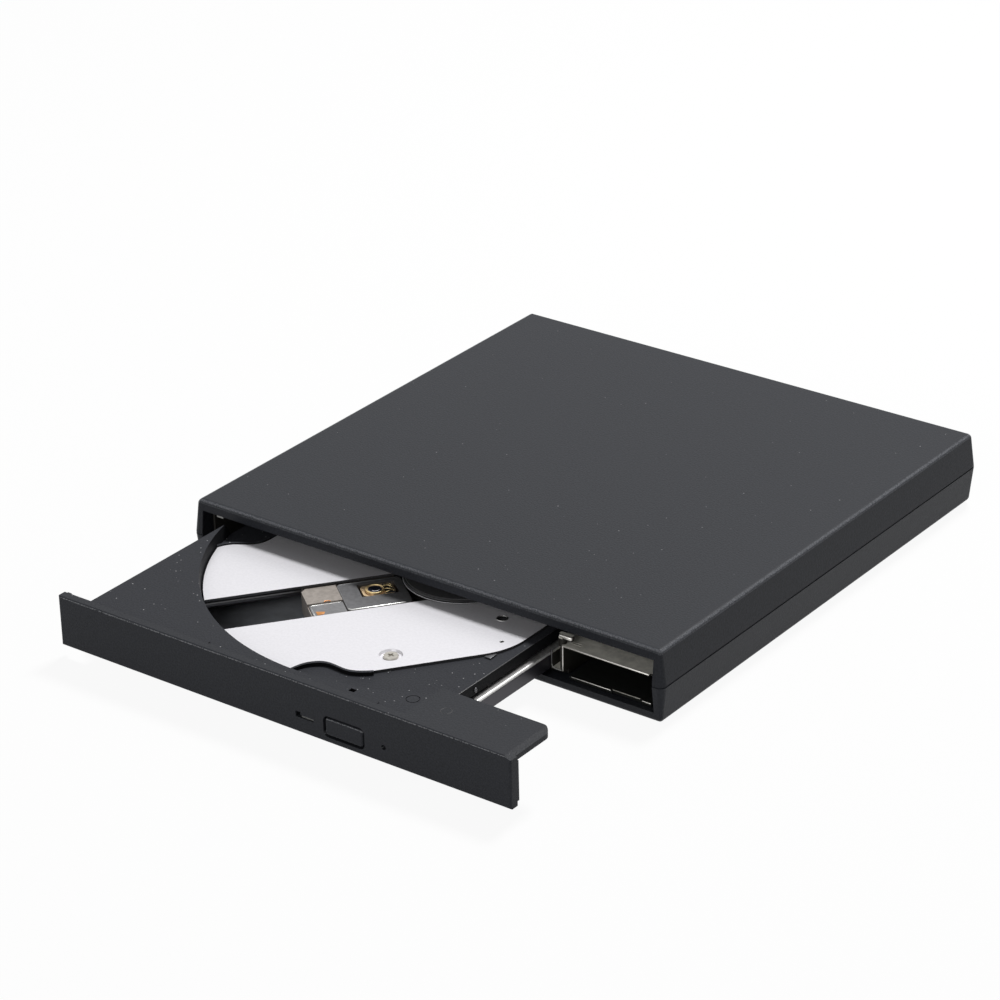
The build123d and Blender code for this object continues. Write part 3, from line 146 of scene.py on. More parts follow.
def addColour(tree, shader, look):
    colour = toneColour(tree, look)
    if "side" in look:  # painted shade on faces that stand upright
        colour = blend(tree, colour, facing(tree, uprightShadeStops), look["side"])
    if "edge" in look:  # painted highlight on rounded edges, brighter in small spots
        edge = look["edge"]
        spots = speckles(tree, edge["scale"], *edge["spots"])
        colour = blend(tree, colour, times(tree, facing(tree, edge["stops"]), spots), edge["shade"])
    if "dust" in look:  # specks that lie in patches on level faces
        dust = look["dust"]
        share = times(tree, facing(tree, levelStops), dots(tree, dust["scale"], dust["size"]))
        share = times(tree, share, speckles(tree, dust["patch"], *dustPatch))
        colour = blend(tree, colour, share, dust["shade"])
    tree.links.new(colour, shader.inputs["Base Color"])


def addGrain(tree, shader, grain):
    noise = objectNoise(tree, grain["scale"], grainDetail, grain.get("stretch", evenly))
    bump = tree.nodes.new("ShaderNodeBump")
    bump.inputs["Strength"].default_value = grain["strength"]
    bump.inputs["Distance"].default_value = grain["height"]
    link(tree, noise, "Fac", bump, "Height")
    link(tree, bump, "Normal", shader, "Normal")


def makeMaterial(name, look):
    material = bpy.data.materials.new(name)
    material.use_nodes = True
    tree = material.node_tree
    shader = tree.nodes["Principled BSDF"]
    shader.inputs["Base Color"].default_value = (*look["base"], 1)
    shader.inputs["Metallic"].default_value = look.get("metal", 0)
    shader.inputs["Roughness"].default_value = look["rough"]
    shader.inputs["Specular IOR Level"].default_value = look.get("shine", plainShine)
    shader.inputs["Coat Weight"].default_value = look.get("coat", 0)
    addColour(tree, shader, look)
    if "grain" in look:
        addGrain(tree, shader, look["grain"])
    return material


# Grains, with the height of their bumps in metres
moulded = {"scale": 2300, "strength": 0.35, "height": 0.00012}
satin = {"scale": 1900, "strength": 0.12, "height": 0.00006}
brushed = {"scale": 900, "strength": 0.08, "height": 0.00004, "stretch": (1, 0.05, 1)}
cast = {"scale": 1200, "strength": 0.25, "height": 0.0001}

# Painted highlights on rounded edges: how far the edge faces up, and how much of the highlight shows
twoHighlightLines = ((0.2, 0), (0.32, 0.5), (0.5, 0.3), (0.7, 1), (0.86, 0.85), (0.95, 0.15), (0.99, 0))
oneHighlightLine = ((0.2, 0), (0.36, 1), (0.6, 0.7), (0.78, 0))
broadHighlightLine = ((0.25, 0), (0.38, 1), (0.72, 1), (0.86, 0))

# Looks by record slot, with colours in linear light; a side colour is painted shade on upright faces, an
# edge highlight colour a painted highlight on rounded edges
casePlastic = {
    "base": (0.0205, 0.0222, 0.0268), "rough": 0.42, "shine": 0.11, "spread": (0.18, 2200),
    # painted highlight along the case's rounded edges; the dust specks are real
    "edge": {"stops": twoHighlightLines, "shade": (0.17, 0.175, 0.19), "scale": 3000, "spots": (0.25, 0.65)},
    "dust": {"scale": 260, "size": 0.04, "shade": (0.22, 0.22, 0.23), "patch": 60},
    "grain": moulded}
looks = {
    "case_top": casePlastic,
    "case_bottom": casePlastic,
    "foot_rubber": {
        "base": (0.02, 0.02, 0.021), "rough": 0.8, "shine": 0.2, "spread": (0.1, 1500), "grain": moulded},
    "screw_steel": {"base": (0.44, 0.42, 0.38), "metal": 1, "rough": 0.32, "spread": (0.1, 900)},
    "pan_steel": {
        "base": (0.80, 0.78, 0.70), "metal": 0.1, "rough": 0.55, "shine": 0.15, "spread": (0.16, 420),
        # painted shade on the pan's upright faces
        "side": (0.026, 0.0245, 0.0215), "grain": satin},
    "cover_steel": {"base": (0.20, 0.20, 0.195), "metal": 0.8, "rough": 0.42, "spread": (0.1, 240)},
    "rail_steel": {
        "base": (0.56, 0.55, 0.54), "metal": 0.6, "rough": 0.34, "spread": (0.18, 1500),
        # painted shade on the rail's upright sides, and a painted highlight on its rolled edge
        "side": (0.05, 0.048, 0.056),
        "edge": {"stops": broadHighlightLine, "shade": (0.92, 0.91, 0.89), "scale": 300, "spots": (0.0, 0.2)},
        "grain": brushed},
    "nylon": {"base": (0.05, 0.045, 0.04), "rough": 0.5, "shine": 0.3, "spread": (0.08, 500)},
    "bezel_plastic": {
        "base": (0.0256, 0.0272, 0.0318), "rough": 0.44, "shine": 0.09, "spread": (0.15, 2400),
        # painted highlight along the bezel's rounded top edge
        "edge": {"stops": oneHighlightLine, "shade": (0.28, 0.285, 0.30), "scale": 2800, "spots": (0.33, 0.62)},
        "dust": {"scale": 420, "size": 0.06, "shade": (0.28, 0.28, 0.29), "patch": 90},
        "grain": moulded},
    "tray_plastic": {
        "base": (0.0335, 0.0350, 0.0402), "rough": 0.5, "shine": 0.055, "spread": (0.15, 2400),
        # painted shade on the tray's upright walls, and a painted highlight on its rounded edges
        "side": (0.009, 0.0092, 0.0102),
        "edge": {"stops": twoHighlightLines, "shade": (0.09, 0.093, 0.10), "scale": 1800, "spots": (0.3, 0.6)},
        "dust": {"scale": 560, "size": 0.09, "shade": (0.34, 0.34, 0.35), "patch": 110},
        "grain": moulded},
    "under_sheet": {"base": (0.48, 0.50, 0.54), "metal": 0.15, "rough": 0.35, "spread": (0.1, 300)},
    "lamp_clear": {"base": (0.16, 0.16, 0.155), "rough": 0.3, "spread": (0.06, 900)},
    "plate_steel": {
        "base": (0.762, 0.753, 0.784), "metal": 0.3, "rough": 0.36, "shine": 0.25, "spread": (0.025, 1600),
        # painted shade on the plate's upright cut edges
        "side": (0.06, 0.06, 0.063), "grain": satin},
    "damper_rubber": {"base": (0.03, 0.03, 0.03), "rough": 0.75, "shine": 0.2, "spread": (0.1, 900)},
    "motor_steel": {"base": (0.44, 0.44, 0.43), "metal": 1, "rough": 0.34, "spread": (0.08, 500)},
    "bush_brass": {"base": (0.85, 0.66, 0.33), "metal": 0.6, "rough": 0.3, "spread": (0.08, 700)},
    "coil_copper": {"base": (0.62, 0.27, 0.10), "metal": 0.6, "rough": 0.35, "spread": (0.12, 2500)},
    "shaft_steel": {"base": (0.70, 0.70, 0.70), "metal": 0.8, "rough": 0.2, "spread": (0.05, 900)},
    "rod_steel": {"base": (0.10, 0.10, 0.105), "metal": 1, "rough": 0.3, "spread": (0.06, 900)},
    "turntable_plastic": {"base": (0.030, 0.030, 0.032), "rough": 0.4, "shine": 0.4, "spread": (0.1, 1500)},
    "pad_rubber": {"base": (0.06, 0.06, 0.062), "rough": 0.6, "shine": 0.25, "spread": (0.1, 1500)},
    "claw_plastic": {"base": (0.06, 0.06, 0.062), "rough": 0.4, "spread": (0.08, 1200)},
    "sled_casting": {
        "base": (0.28, 0.25, 0.225), "metal": 0.35, "rough": 0.5, "spread": (0.12, 900), "grain": cast},
    "sled_cover_sheet": {
        "base": (0.135, 0.135, 0.14), "metal": 0.4, "rough": 0.42, "spread": (0.12, 900), "grain": satin},
    "laser_cover_sheet": {
        "base": (0.19, 0.19, 0.195), "metal": 0.4, "rough": 0.42, "spread": (0.12, 900), "grain": satin},
    "flex_film": {"base": (0.60, 0.24, 0.05), "rough": 0.35, "spread": (0.15, 700)},
    "lens_block": {"base": (0.78, 0.58, 0.36), "metal": 0.3, "rough": 0.36, "spread": (0.25, 1400)},
    "lens_glass": {"base": (0.015, 0.018, 0.035), "rough": 0.04, "coat": 0.6, "spread": (0.1, 300)},
    "dark_plastic": {"base": (0.02, 0.02, 0.021), "rough": 0.45, "shine": 0.35, "spread": (0.1, 1200)},
    "board_green": {"base": (0.035, 0.10, 0.045), "rough": 0.35, "spread": (0.15, 600)},
    "board_dark": {"base": (0.012, 0.013, 0.012), "rough": 0.4, "shine": 0.2, "spread": (0.15, 600)},
    "chip_black": {"base": (0.018, 0.018, 0.02), "rough": 0.45, "spread": (0.1, 1500)},
    "connector_black": {"base": (0.02, 0.02, 0.021), "rough": 0.4, "spread": (0.1, 1500)},
    "socket_steel": {"base": (0.72, 0.70, 0.66), "metal": 0.7, "rough": 0.28, "spread": (0.06, 700)},
}
materials = {slot: makeMaterial(slot, look) for slot, look in looks.items()}
for row in frame["record"]["subparts"]:
    node = nodes[row["node"]]
    node.data.materials.clear()
    node.data.materials.append(materials[row["material_slot"]])
print("finishes given to", len(nodes), "nodes")

# Soft edges on the moulded and cut pieces, their widths in millimetres
edgeWidths = {"tray": 0.22, "eject_button": 0.2, "mechanism_plate": 0.1, "drive_pan": 0.08,
              "drive_top_cover": 0.06, "right_guide": 0.08, "bridge_board": 0.06, "sled_body": 0.2,
              "sled_cover": 0.1, "laser_cover": 0.1, "usb_socket": 0.1, "dc_jack": 0.15}
edgeSegments = 2
edgeAngle = math.radians(40)
for name, width in edgeWidths.items():
    bevel = nodes[name].modifiers.new("softEdge", "BEVEL")
    bevel.width = width * mm
    bevel.segments = edgeSegments
    bevel.limit_method = "ANGLE"
    bevel.angle_limit = edgeAngle
print("edges softened")

# Small pieces
domeShare = 0.6
uprightLimit = 0.01
sheetEdge = {"soft": 0.03, "segments": 2, "profile": 0.5}


def addPiece(name, mesh, slot, body):
    mesh.name = name
    piece = bpy.data.objects.new(name, mesh)
    bpy.context.scene.collection.objects.link(piece)
    mesh.materials.append(materials[slot])
    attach(piece, body)


def joinRings(work, rings, closed=False):
    # skins neighbouring rings, and caps the two ends of an open row
    sides = len(rings[0])
    followers = rings[1:] + rings[:1] if closed else rings[1:]
    for near, far in zip(rings, followers):
        for step in range(sides):
            after = (step + 1) % sides
            work.faces.new((near[step], near[after], far[after], far[step]))
    if not closed:
        work.faces.new(list(reversed(rings[0])))
        work.faces.new(rings[-1])
    bmesh.ops.recalc_face_normals(work, faces=work.faces)
    for face in work.faces:
        face.smooth = len(face.verts) == 4


def toMesh(work):
    mesh = bpy.data.meshes.new("piece")
    work.to_mesh(mesh)
    work.free()
    return mesh


def tubeMesh(points, radius, sides=8, closed=False, flat=1.0):
    # a round or flattened tube through the points, with domed ends unless it closes on itself
    points = [Vector(p) for p in points]
    stations = [(p, radius) for p in points]
    if not closed:
        lead = (points[0] - points[1]).normalized()
        tail = (points[-1] - points[-2]).normalized()
        dome = radius * domeShare
        stations.insert(0, (points[0] + lead * dome, dome))
        stations.append((points[-1] + tail * dome, dome))
    work = bmesh.new()
    rings = []
    count = len(stations)
    for i, (centre, reach) in enumerate(stations):
        before = stations[(i - 1) % count][0] if closed or i else centre
        after = stations[(i + 1) % count][0] if closed or i < count - 1 else centre
        along = (after - before).normalized()
        side = along.cross(upward)
        if side.length < uprightLimit:
            side = Vector((1, 0, 0))
        side.normalize()
        up = side.cross(along)
        turns = [2 * math.pi * step / sides for step in range(sides)]
        spokes = [side * math.cos(turn) + up * math.sin(turn) * flat for turn in turns]
        rings.append([work.verts.new(centre + spoke * reach) for spoke in spokes])
    joinRings(work, rings, closed)
    return toMesh(work)


def ringPoints(centre, radius, count):
    turns = [2 * math.pi * i / count for i in range(count)]
    return [Vector(centre) + Vector((math.cos(turn), math.sin(turn), 0)) * radius for turn in turns]


def turnedMesh(profile, centre, axis, sides=28):
    # turns a profile of (radius, height) about an axis through the centre
    tilt = upward.rotation_difference(Vector(axis)).to_matrix()
    work = bmesh.new()
    rings = []
    for radius, height in profile:
        circle = ringPoints((0, 0, height), radius, sides)
        rings.append([work.verts.new(Vector(centre) + tilt @ point) for point in circle])
    joinRings(work, rings)
    return toMesh(work)


def sheetMesh(outline, low, high):
    # a sheet of the outline's shape between two heights, its edges rounded
    work = bmesh.new()
    base = work.faces.new([work.verts.new((x, y, low)) for x, y in outline])
    raised = bmesh.ops.extrude_face_region(work, geom=[base])["geom"]
    lifted = [part for part in raised if isinstance(part, bmesh.types.BMVert)]
    bmesh.ops.translate(work, vec=(0, 0, high - low), verts=lifted)
    bmesh.ops.recalc_face_normals(work, faces=work.faces)
    bmesh.ops.bevel(work, geom=work.edges[:], offset=sheetEdge["soft"] * mm, affect="EDGES",
                    segments=sheetEdge["segments"], profile=sheetEdge["profile"])
    for face in work.faces:
        face.smooth = True
    return toMesh(work)


def corners(firstPair, secondPair):
    (a, b), (c, d) = firstPair, secondPair
    return ((a, c), (b, c), (b, d), (a, d))


def roundCorner(centre, radius, start, end, steps=6):
    turns = [math.radians(start + (end - start) * i / steps) for i in range(steps + 1)]
    return [(centre[0] + radius * math.cos(t), centre[1] + radius * math.sin(t)) for t in turns]


joints = {joint["name"]: joint for joint in frame["record"]["behaviour"]["joints"]}
spindle = Vector(joints["turntable_spin"]["pos_m"])
feedLine = Vector(joints["sled_slide"]["axis"]).normalized()
acrossLine = upward.cross(feedLine)


def onFeed(along, across, height):
    # a place on the pickup's path: millimetres from the spindle, height in metres
    spot = feedLine * along * mm + acrossLine * across * mm
    return Vector((spindle.x + spot.x, spindle.y + spot.y, height))


# Painted highlights: bright rings along the turntable's rims
rims = {"lower": {"inset": 0.05, "tube": 0.13, "rise": 0.1},
        "upper": {"inset": 0.6, "tube": 0.13, "rise": 0.8}}
rimSteps = 96
tableLow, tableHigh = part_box("turntable")
tableRadius = (tableHigh[0] - tableLow[0]) / 2
for name, rim in rims.items():
    centre = (spindle.x, spindle.y, tableLow[2] + rim["rise"] * mm)
    circle = ringPoints(centre, tableRadius - rim["inset"] * mm, rimSteps)
    mesh = tubeMesh(circle, rim["tube"] * mm, closed=True)
    addPiece("turntableRimHighlight_" + name, mesh, "plate_steel", "turntable")
print("turntable rims placed")

# Gilt ring round the lens
lensRing = {"along": 21.2, "radius": 2.05, "tube": 0.2, "drop": 0.06, "steps": 48, "holderDrop": 0.6}
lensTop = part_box("lens_holder")[1][2]
holderTop = lensTop - lensRing["holderDrop"] * mm
giltCentre = onFeed(lensRing["along"], 0, lensTop - lensRing["drop"] * mm)
giltPath = ringPoints(giltCentre, lensRing["radius"] * mm, lensRing["steps"])
addPiece("lensGilt", tubeMesh(giltPath, lensRing["tube"] * mm, closed=True), "bush_brass", "lens")

# Painted shade: a flat dark sheet for the shaded well beside the lens
well = {"along": (16.75, 18.95), "across": (-2.85, 1.85), "down": 0.1, "up": 0.06}
wellOutline = [onFeed(along, across, 0).xy for along, across in corners(well["along"], well["across"])]
wellMesh = sheetMesh(wellOutline, holderTop - well["down"] * mm, holderTop + well["up"] * mm)
addPiece("lensWellShade", wellMesh, "dark_plastic", "lens")

# Painted glint: a bright arc at the lens's rim
glint = {"radius": 1.15, "tube": 0.16, "from": -80, "to": 15, "steps": 9, "rise": 0.02, "flat": 0.4}
glintCentre = onFeed(lensRing["along"], 0, lensTop + glint["rise"] * mm)
glintPath = [(x, y, glintCentre.z) for x, y in roundCorner(
    glintCentre, glint["radius"] * mm, glint["from"], glint["to"], glint["steps"])]
addPiece("lensGlint", tubeMesh(glintPath, glint["tube"] * mm, flat=glint["flat"]), "plate_steel", "lens")

# Wires that carry the lens's holder
wires = {"sides": (-1.9, -1.1, 0.2, 1.2), "from": 19.1, "to": 16.9, "radius": 0.1, "rise": 0.08,
         "arch": 0.3, "sway": 0.3, "swing": 6.3, "shift": 2, "steps": 9}
for i, across in enumerate(wires["sides"]):
    path = []
    for step in range(wires["steps"]):
        share = step / (wires["steps"] - 1)
        along = wires["from"] + (wires["to"] - wires["from"]) * share
        sway = wires["sway"] * math.sin(share * wires["swing"] + wires["shift"] * i)
        rise = wires["rise"] + wires["arch"] * math.sin(math.pi * share)
        path.append(onFeed(along, across + sway, holderTop + rise * mm))
    addPiece(f"lensWire_{i + 1}", tubeMesh(path, wires["radius"] * mm), "bush_brass", "lens")
print("lens fittings placed")

# A bit of copper wire in the notch between the pickup's covers
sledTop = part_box("sled_body")[1][2]
loop = {"along": 33.0, "across": 2.75, "radius": 0.75, "squash": 0.6, "tube": 0.12, "rise": 0.096,
        "from": 10, "to": 170, "steps": 11}
loopPath = [onFeed(loop["along"] + x, loop["across"] - loop["squash"] * y, sledTop + loop["rise"] * mm)
            for x, y in roundCorner((0, 0), loop["radius"], loop["from"], loop["to"], loop["steps"])]
addPiece("coilWire", tubeMesh(loopPath, loop["tube"] * mm), "coil_copper", "sled")

# Rolled rim of the pickup's dark cover, in a lighter finish as a painted highlight, and a brighter lip on
# its near corner as a painted highlight
coverRimHighlight = {"start": 15.0, "end": 29.15, "near": 8.15, "far": -4.75, "corner": 1.1, "tube": 0.15,
            "down": 0.05}
lip = {"start": 16.0, "until": 20, "tube": 0.26, "up": 0.1, "sides": 10}
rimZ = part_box("sled_cover")[1][2] - coverRimHighlight["down"] * mm
nearTurn = (coverRimHighlight["end"] - coverRimHighlight["corner"], coverRimHighlight["near"] - coverRimHighlight["corner"])
farTurn = (coverRimHighlight["end"] - coverRimHighlight["corner"], coverRimHighlight["far"] + coverRimHighlight["corner"])
lipPath = [(lip["start"], coverRimHighlight["near"]), *roundCorner(nearTurn, coverRimHighlight["corner"], 90, lip["until"])]
lipPath = [onFeed(along, across, rimZ + lip["up"] * mm) for along, across in lipPath]
addPiece("coverLipHighlight", tubeMesh(lipPath, lip["tube"] * mm, lip["sides"]), "motor_steel", "sled")
rimPath = [(coverRimHighlight["start"], coverRimHighlight["near"]), *roundCorner(nearTurn, coverRimHighlight["corner"], 90, 0),
           *roundCorner(farTurn, coverRimHighlight["corner"], 0, -90), (coverRimHighlight["start"], coverRimHighlight["far"])]
rimPath = [onFeed(along, across, rimZ) for along, across in rimPath]
addPiece("coverRimHighlight", tubeMesh(rimPath, coverRimHighlight["tube"] * mm), "laser_cover_sheet", "sled")

# Rim of the small cover, in a brighter steel as a painted highlight, and a bit of film on it
smallRim = {"path": ((29.9, 2.9), (36.8, 2.9), (37.1, 3.2), (37.1, 7.75)), "tube": 0.12}
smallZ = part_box("laser_cover")[1][2]
smallPath = [onFeed(along, across, smallZ) for along, across in smallRim["path"]]
addPiece("smallCoverRimHighlight", tubeMesh(smallPath, smallRim["tube"] * mm), "motor_steel", "sled")
film = {"outline": ((36.5, 6.0), (34.4, 6.6), (34.9, 7.7), (36.4, 7.8)), "low": 0.01, "high": 0.11}
filmOutline = [onFeed(along, across, 0).xy for along, across in film["outline"]]
filmMesh = sheetMesh(filmOutline, smallZ + film["low"] * mm, smallZ + film["high"] * mm)
addPiece("amberFilm", filmMesh, "flex_film", "sled")
print("pickup rims placed")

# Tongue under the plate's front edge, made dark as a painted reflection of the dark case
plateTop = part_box("mechanism_plate")[1][2]
tongue = {"x": (27.2, 28.9), "y": (-28.5, -26.0), "down": 0.28, "thick": 0.1}
tongueTop = plateTop - tongue["down"] * mm
tongueOutline = [(spindle.x + x * mm, spindle.y + y * mm) for x, y in corners(tongue["x"], tongue["y"])]
tongueMesh = sheetMesh(tongueOutline, tongueTop - tongue["thick"] * mm, tongueTop)
addPiece("plateTongueDarkReflection", tongueMesh, "rod_steel", "tray")

# Rims of the plate's small holes, bright as painted highlights, and dark cups below them as painted shade
holes = {"small": {"x": 26.7, "y": -21.3, "rim": 0.5, "tube": 0.06},
         "large": {"x": 20.2, "y": -12.4, "rim": 1.3, "tube": 0.14}}
holeRing = {"sink": 0.02, "steps": 36}
holeCup = {"reach": 0.94, "profile": ((0.3, -0.5), (1, -0.5), (1, -0.3), (0.9, -0.34), (0.2, -0.36))}
for name, hole in holes.items():
    centre = (spindle.x + hole["x"] * mm, spindle.y + hole["y"] * mm, plateTop - holeRing["sink"] * mm)
    circle = ringPoints(centre, hole["rim"] * mm, holeRing["steps"])
    addPiece("holeRimHighlight_" + name, tubeMesh(circle, hole["tube"] * mm, closed=True), "motor_steel", "tray")
    reach = hole["rim"] * holeCup["reach"] * mm
    cup = [(share * reach, height * mm) for share, height in holeCup["profile"]]
    addPiece("holeShade_" + name, turnedMesh(cup, centre, upward), "dark_plastic", "tray")
print("plate details placed")

# Cut edges of the pan at the front, wing and step, made bright as painted highlights
panLow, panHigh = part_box("drive_pan")
guideLow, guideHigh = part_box("right_guide")
cut = {"wingUp": 0.3, "back": 0.08, "end": 1.5, "wing": 0.2, "step": 0.18, "stepOut": 0.25, "foot": 0.25,
       "gap": 0.2, "sides": 10}
wingZ = guideHigh[2] + cut["wingUp"] * mm
cutY = panLow[1] + cut["back"] * mm
stepX = guideHigh[0] + cut["stepOut"] * mm
wingPath = [(stepX + cut["gap"] * mm, cutY, wingZ), (panHigh[0] - cut["end"] * mm, cutY, wingZ)]
addPiece("wingEdgeHighlight", tubeMesh(wingPath, cut["wing"] * mm, cut["sides"]), "socket_steel", "case")
stepPath = [(stepX, cutY, guideLow[2] + cut["foot"] * mm), (stepX, cutY, wingZ)]
addPiece("stepEdgeHighlight", tubeMesh(stepPath, cut["step"] * mm, cut["sides"]), "socket_steel", "case")

# Rolled hem over the step, in the bright edge steel as a painted highlight
hem = {"x": (38.35, 39.8, 41.25), "y": -65.22, "up": 12.65, "radius": 0.52, "sides": 14}
hemPath = [(x * mm, hem["y"] * mm, hem["up"] * mm) for x in hem["x"]]
addPiece("stepHem", tubeMesh(hemPath, hem["radius"] * mm, hem["sides"]), "socket_steel", "case")

# Cut front edge of the right guide: the left leg dark as painted shade and the foot brighter as a painted
# highlight
leg = {"inset": 0.22, "back": 0.05, "radius": 0.15, "corner": 0.9, "bend": 0.225, "top": 8.6}
legX, legFar = guideLow[0] + leg["inset"] * mm, guideHigh[0] - leg["inset"] * mm
legY, footZ = guideLow[1] + leg["back"] * mm, guideLow[2] + leg["inset"] * mm
legEnd = (legX, legY, footZ + leg["corner"] * mm)
legPath = [(legX, legY, leg["top"] * mm), legEnd]
addPiece("guideLegShade", tubeMesh(legPath, leg["radius"] * mm), "rod_steel", "case")
footPath = [legEnd, (legX + leg["bend"] * mm, legY, footZ + leg["bend"] * mm),
            (legX + leg["corner"] * mm, legY, footZ), (legFar, legY, footZ)]
addPiece("guideFootHighlight", tubeMesh(footPath, leg["radius"] * mm), "cover_steel", "case")

# Two low ridges pressed in the wing
ridges = {"from": 40.2, "to": 43.0, "rows": (-63.9, -63.1), "up": 0.5, "radius": 0.14, "flat": 0.5}
ridgeZ = guideHigh[2] + ridges["up"] * mm
for i, y in enumerate(ridges["rows"]):
    path = [(ridges["from"] * mm, y * mm, ridgeZ), (ridges["to"] * mm, y * mm, ridgeZ)]
    mesh = tubeMesh(path, ridges["radius"] * mm, flat=ridges["flat"])
    addPiece(f"wingRidge_{i + 1}", mesh, "pan_steel", "case")

# Edge of the bridge board as bright lines of painted highlight, in three runs measured from its right end;
# the middle run is dimmer
runs = {"left": {"from": 21.6, "to": 11.0, "back": 0, "slot": "socket_steel"},
        "middle": {"from": 10.8, "to": 3.3, "back": 0.42, "slot": "pan_steel"},
        "right": {"from": 2.4, "to": 0.1, "back": 0, "slot": "socket_steel"}}
runTube = {"radius": 0.12, "down": 0.1}
boardLow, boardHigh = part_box("bridge_board")
runZ = boardHigh[2] - runTube["down"] * mm
for name, run in runs.items():
    y = boardLow[1] + run["back"] * mm
    path = [(boardHigh[0] - run[end] * mm, y, runZ) for end in ("from", "to")]
    addPiece("boardEdge_" + name, tubeMesh(path, runTube["radius"] * mm), run["slot"], "case")
print("pan and board edges placed")

# Small turned peg in the tray's right side
peg = {"centre": (34.25, -91.6, 9.7),
       "profile": ((0.3, -0.2), (0.3, 0.0), (0.55, 0.02), (0.55, 0.2), (0.4, 0.36), (0.15, 0.42))}
pegCentre = [place * mm for place in peg["centre"]]
pegProfile = [(radius * mm, height * mm) for radius, height in peg["profile"]]
addPiece("trayPeg", turnedMesh(pegProfile, pegCentre, (1, 0, 0)), "rod_steel", "tray")

# Painted highlight: a lighter line on the tray's edge beside the right rail
trayHighlightLine = {"x": 34.22, "up": 11.24, "from": -110.2, "to": -60.0, "radius": 0.1}
trayHighlightPath = [(trayHighlightLine["x"] * mm, trayHighlightLine[end] * mm, trayHighlightLine["up"] * mm) for end in ("from", "to")]
addPiece("trayEdgeHighlight", tubeMesh(trayHighlightPath, trayHighlightLine["radius"] * mm), "claw_plastic", "tray")

# Gate mark on the bezel's flange
gate = {"x": 41.0, "y": -110.5, "sink": 0.05, "radius": 1.25, "tube": 0.09, "steps": 40}
gateCentre = (gate["x"] * mm, gate["y"] * mm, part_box("bezel")[1][2] - gate["sink"] * mm)
gatePath = ringPoints(gateCentre, gate["radius"] * mm, gate["steps"])
addPiece("gateMark", tubeMesh(gatePath, gate["tube"] * mm, closed=True), "dark_plastic", "tray")

# Contacts on the data socket's tongue
contacts = {"count": 5, "lead": 0.75, "spare": 0.5, "radius": 0.16, "flat": 0.5, "from": 0.3, "to": 4.5}
portLow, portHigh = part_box("usb_tongue")
pitch = (portHigh[0] - portLow[0]) / (contacts["count"] + contacts["spare"])
for i in range(contacts["count"]):
    x = portLow[0] + pitch * (i + contacts["lead"])
    path = [(x, portHigh[1] - contacts[end] * mm, portLow[2]) for end in ("from", "to")]
    mesh = tubeMesh(path, contacts["radius"] * mm, flat=contacts["flat"])
    addPiece(f"portContact_{i + 1}", mesh, "bush_brass", "case")
print("small pieces placed")


# Floor and world
def seenByEye(tree):
    # one for camera and glossy rays
    lightPath = tree.nodes.new("ShaderNodeLightPath")
    seen = mathNode(tree, "MAXIMUM")
    tree.links.new(lightPath.outputs["Is Camera Ray"], seen.inputs[0])
    tree.links.new(lightPath.outputs["Is Glossy Ray"], seen.inputs[1])
    return seen.outputs[0]


def mixShaders(tree, share, plain, shown, outputKind):
    mixed = tree.nodes.new("ShaderNodeMixShader")
    output = tree.nodes.new(outputKind)
    tree.links.new(share, mixed.inputs["Fac"])
    tree.links.new(plain.outputs[0], mixed.inputs[1])
    tree.links.new(shown.outputs[0], mixed.inputs[2])
    tree.links.new(mixed.outputs[0], output.inputs["Surface"])


# Floor that shows white and keeps a faint shadow
stage = {"size": 6.0, "under": -0.6, "white": 0.93, "bounce": 0.8}
half = stage["size"] / 2
floorCorners = [(x, y, 0) for x, y in corners((-half, half), (-half, half))]
floorMesh = bpy.data.meshes.new("floor")
floorMesh.from_pydata(floorCorners, [], [(0, 1, 2, 3)])
floor = bpy.data.objects.new("floor", floorMesh)
floor.location.z = stage["under"] * mm
bpy.context.scene.collection.objects.link(floor)
floorMaterial = bpy.data.materials.new("floorWhite")
floorMaterial.use_nodes = True
tree = floorMaterial.node_tree
tree.nodes.clear()
share = mathNode(tree, "MULTIPLY")
share.inputs[1].default_value = stage["white"]
tree.links.new(seenByEye(tree), share.inputs[0])
diffuse = tree.nodes.new("ShaderNodeBsdfDiffuse")
diffuse.inputs["Color"].default_value = (stage["bounce"], stage["bounce"], stage["bounce"], 1)
glow = tree.nodes.new("ShaderNodeEmission")
mixShaders(tree, share.outputs[0], diffuse, glow, "ShaderNodeOutputMaterial")
floorMesh.materials.append(floorMaterial)

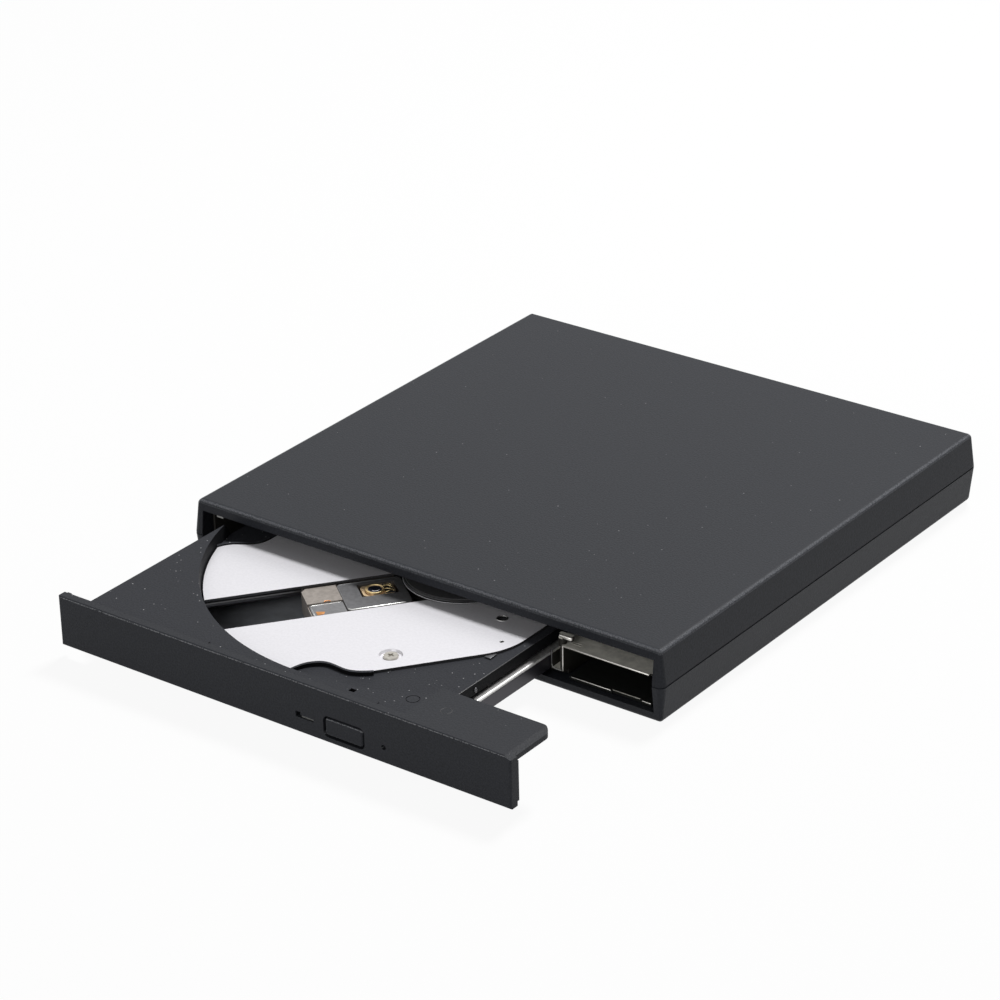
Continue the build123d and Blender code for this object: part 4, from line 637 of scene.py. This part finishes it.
# World: white where it is seen, a low even fill on the object
sky = {"fill": 0.09, "seen": 1.0}
world = bpy.data.worlds.new("sky")
bpy.context.scene.world = world
world.use_nodes = True
tree = world.node_tree
tree.nodes.clear()
backgrounds = []
for strength in (sky["fill"], sky["seen"]):
    background = tree.nodes.new("ShaderNodeBackground")
    background.inputs["Color"].default_value = (1, 1, 1, 1)
    background.inputs["Strength"].default_value = strength
    backgrounds.append(background)
mixShaders(tree, seenByEye(tree), *backgrounds, "ShaderNodeOutputWorld")

# Key light overhead, a little behind the case, and a weak wide one in front
lamps = {"key": {"aim": (0, -0.02, 0.012), "toward": (0.0, 0.45, 0.893), "distance": 1.0,
                 "size": 0.24, "power": 10.6},
         "front": {"aim": (0.02, -0.06, 0.012), "toward": (0.12, -0.9, 0.42), "distance": 1.0,
                   "size": 0.6, "power": 2.4}}
for name, lamp in lamps.items():
    lampData = bpy.data.lights.new(name, "AREA")
    lampData.shape = "DISK"
    lampData.size = lamp["size"]
    lampData.energy = lamp["power"]
    lampObject = bpy.data.objects.new(name, lampData)
    toward = Vector(lamp["toward"]).normalized()
    lampObject.location = Vector(lamp["aim"]) + toward * lamp["distance"]
    lampObject.rotation_euler = toward.to_track_quat("Z", "Y").to_euler()
    bpy.context.scene.collection.objects.link(lampObject)
print("stage lit")

# Camera: angles in degrees, focal length in pixels, target and distance in millimetres
view = {"azimuth": 37.284, "elevation": 26.348, "roll": 1.346, "focal": 3630.6, "frame": 1000,
        "target": (-16.714, -14.074, 10.0), "distance": 876.6, "sensor": 36, "near": 0.01}
azimuth, elevation, roll = (math.radians(view[angle]) for angle in ("azimuth", "elevation", "roll"))
back = Vector((math.sin(azimuth) * math.cos(elevation), -math.cos(azimuth) * math.cos(elevation),
               math.sin(elevation)))
right = (-back).cross(upward).normalized()
down = (-back).cross(right)
rolledRight = math.cos(roll) * right + math.sin(roll) * down
rolledDown = -math.sin(roll) * right + math.cos(roll) * down
cameraData = bpy.data.cameras.new("camera")
cameraData.sensor_width = view["sensor"]
cameraData.lens = view["sensor"] * view["focal"] / view["frame"]
cameraData.clip_start = view["near"]
camera = bpy.data.objects.new("camera", cameraData)
turn = Matrix((rolledRight, -rolledDown, back)).transposed()
place = (Vector(view["target"]) + back * view["distance"]) * mm
camera.matrix_world = Matrix.Translation(place) @ turn.to_4x4()
bpy.context.scene.collection.objects.link(camera)
bpy.context.scene.camera = camera
bpy.context.scene.view_settings.view_transform = "Standard"
print("camera set")
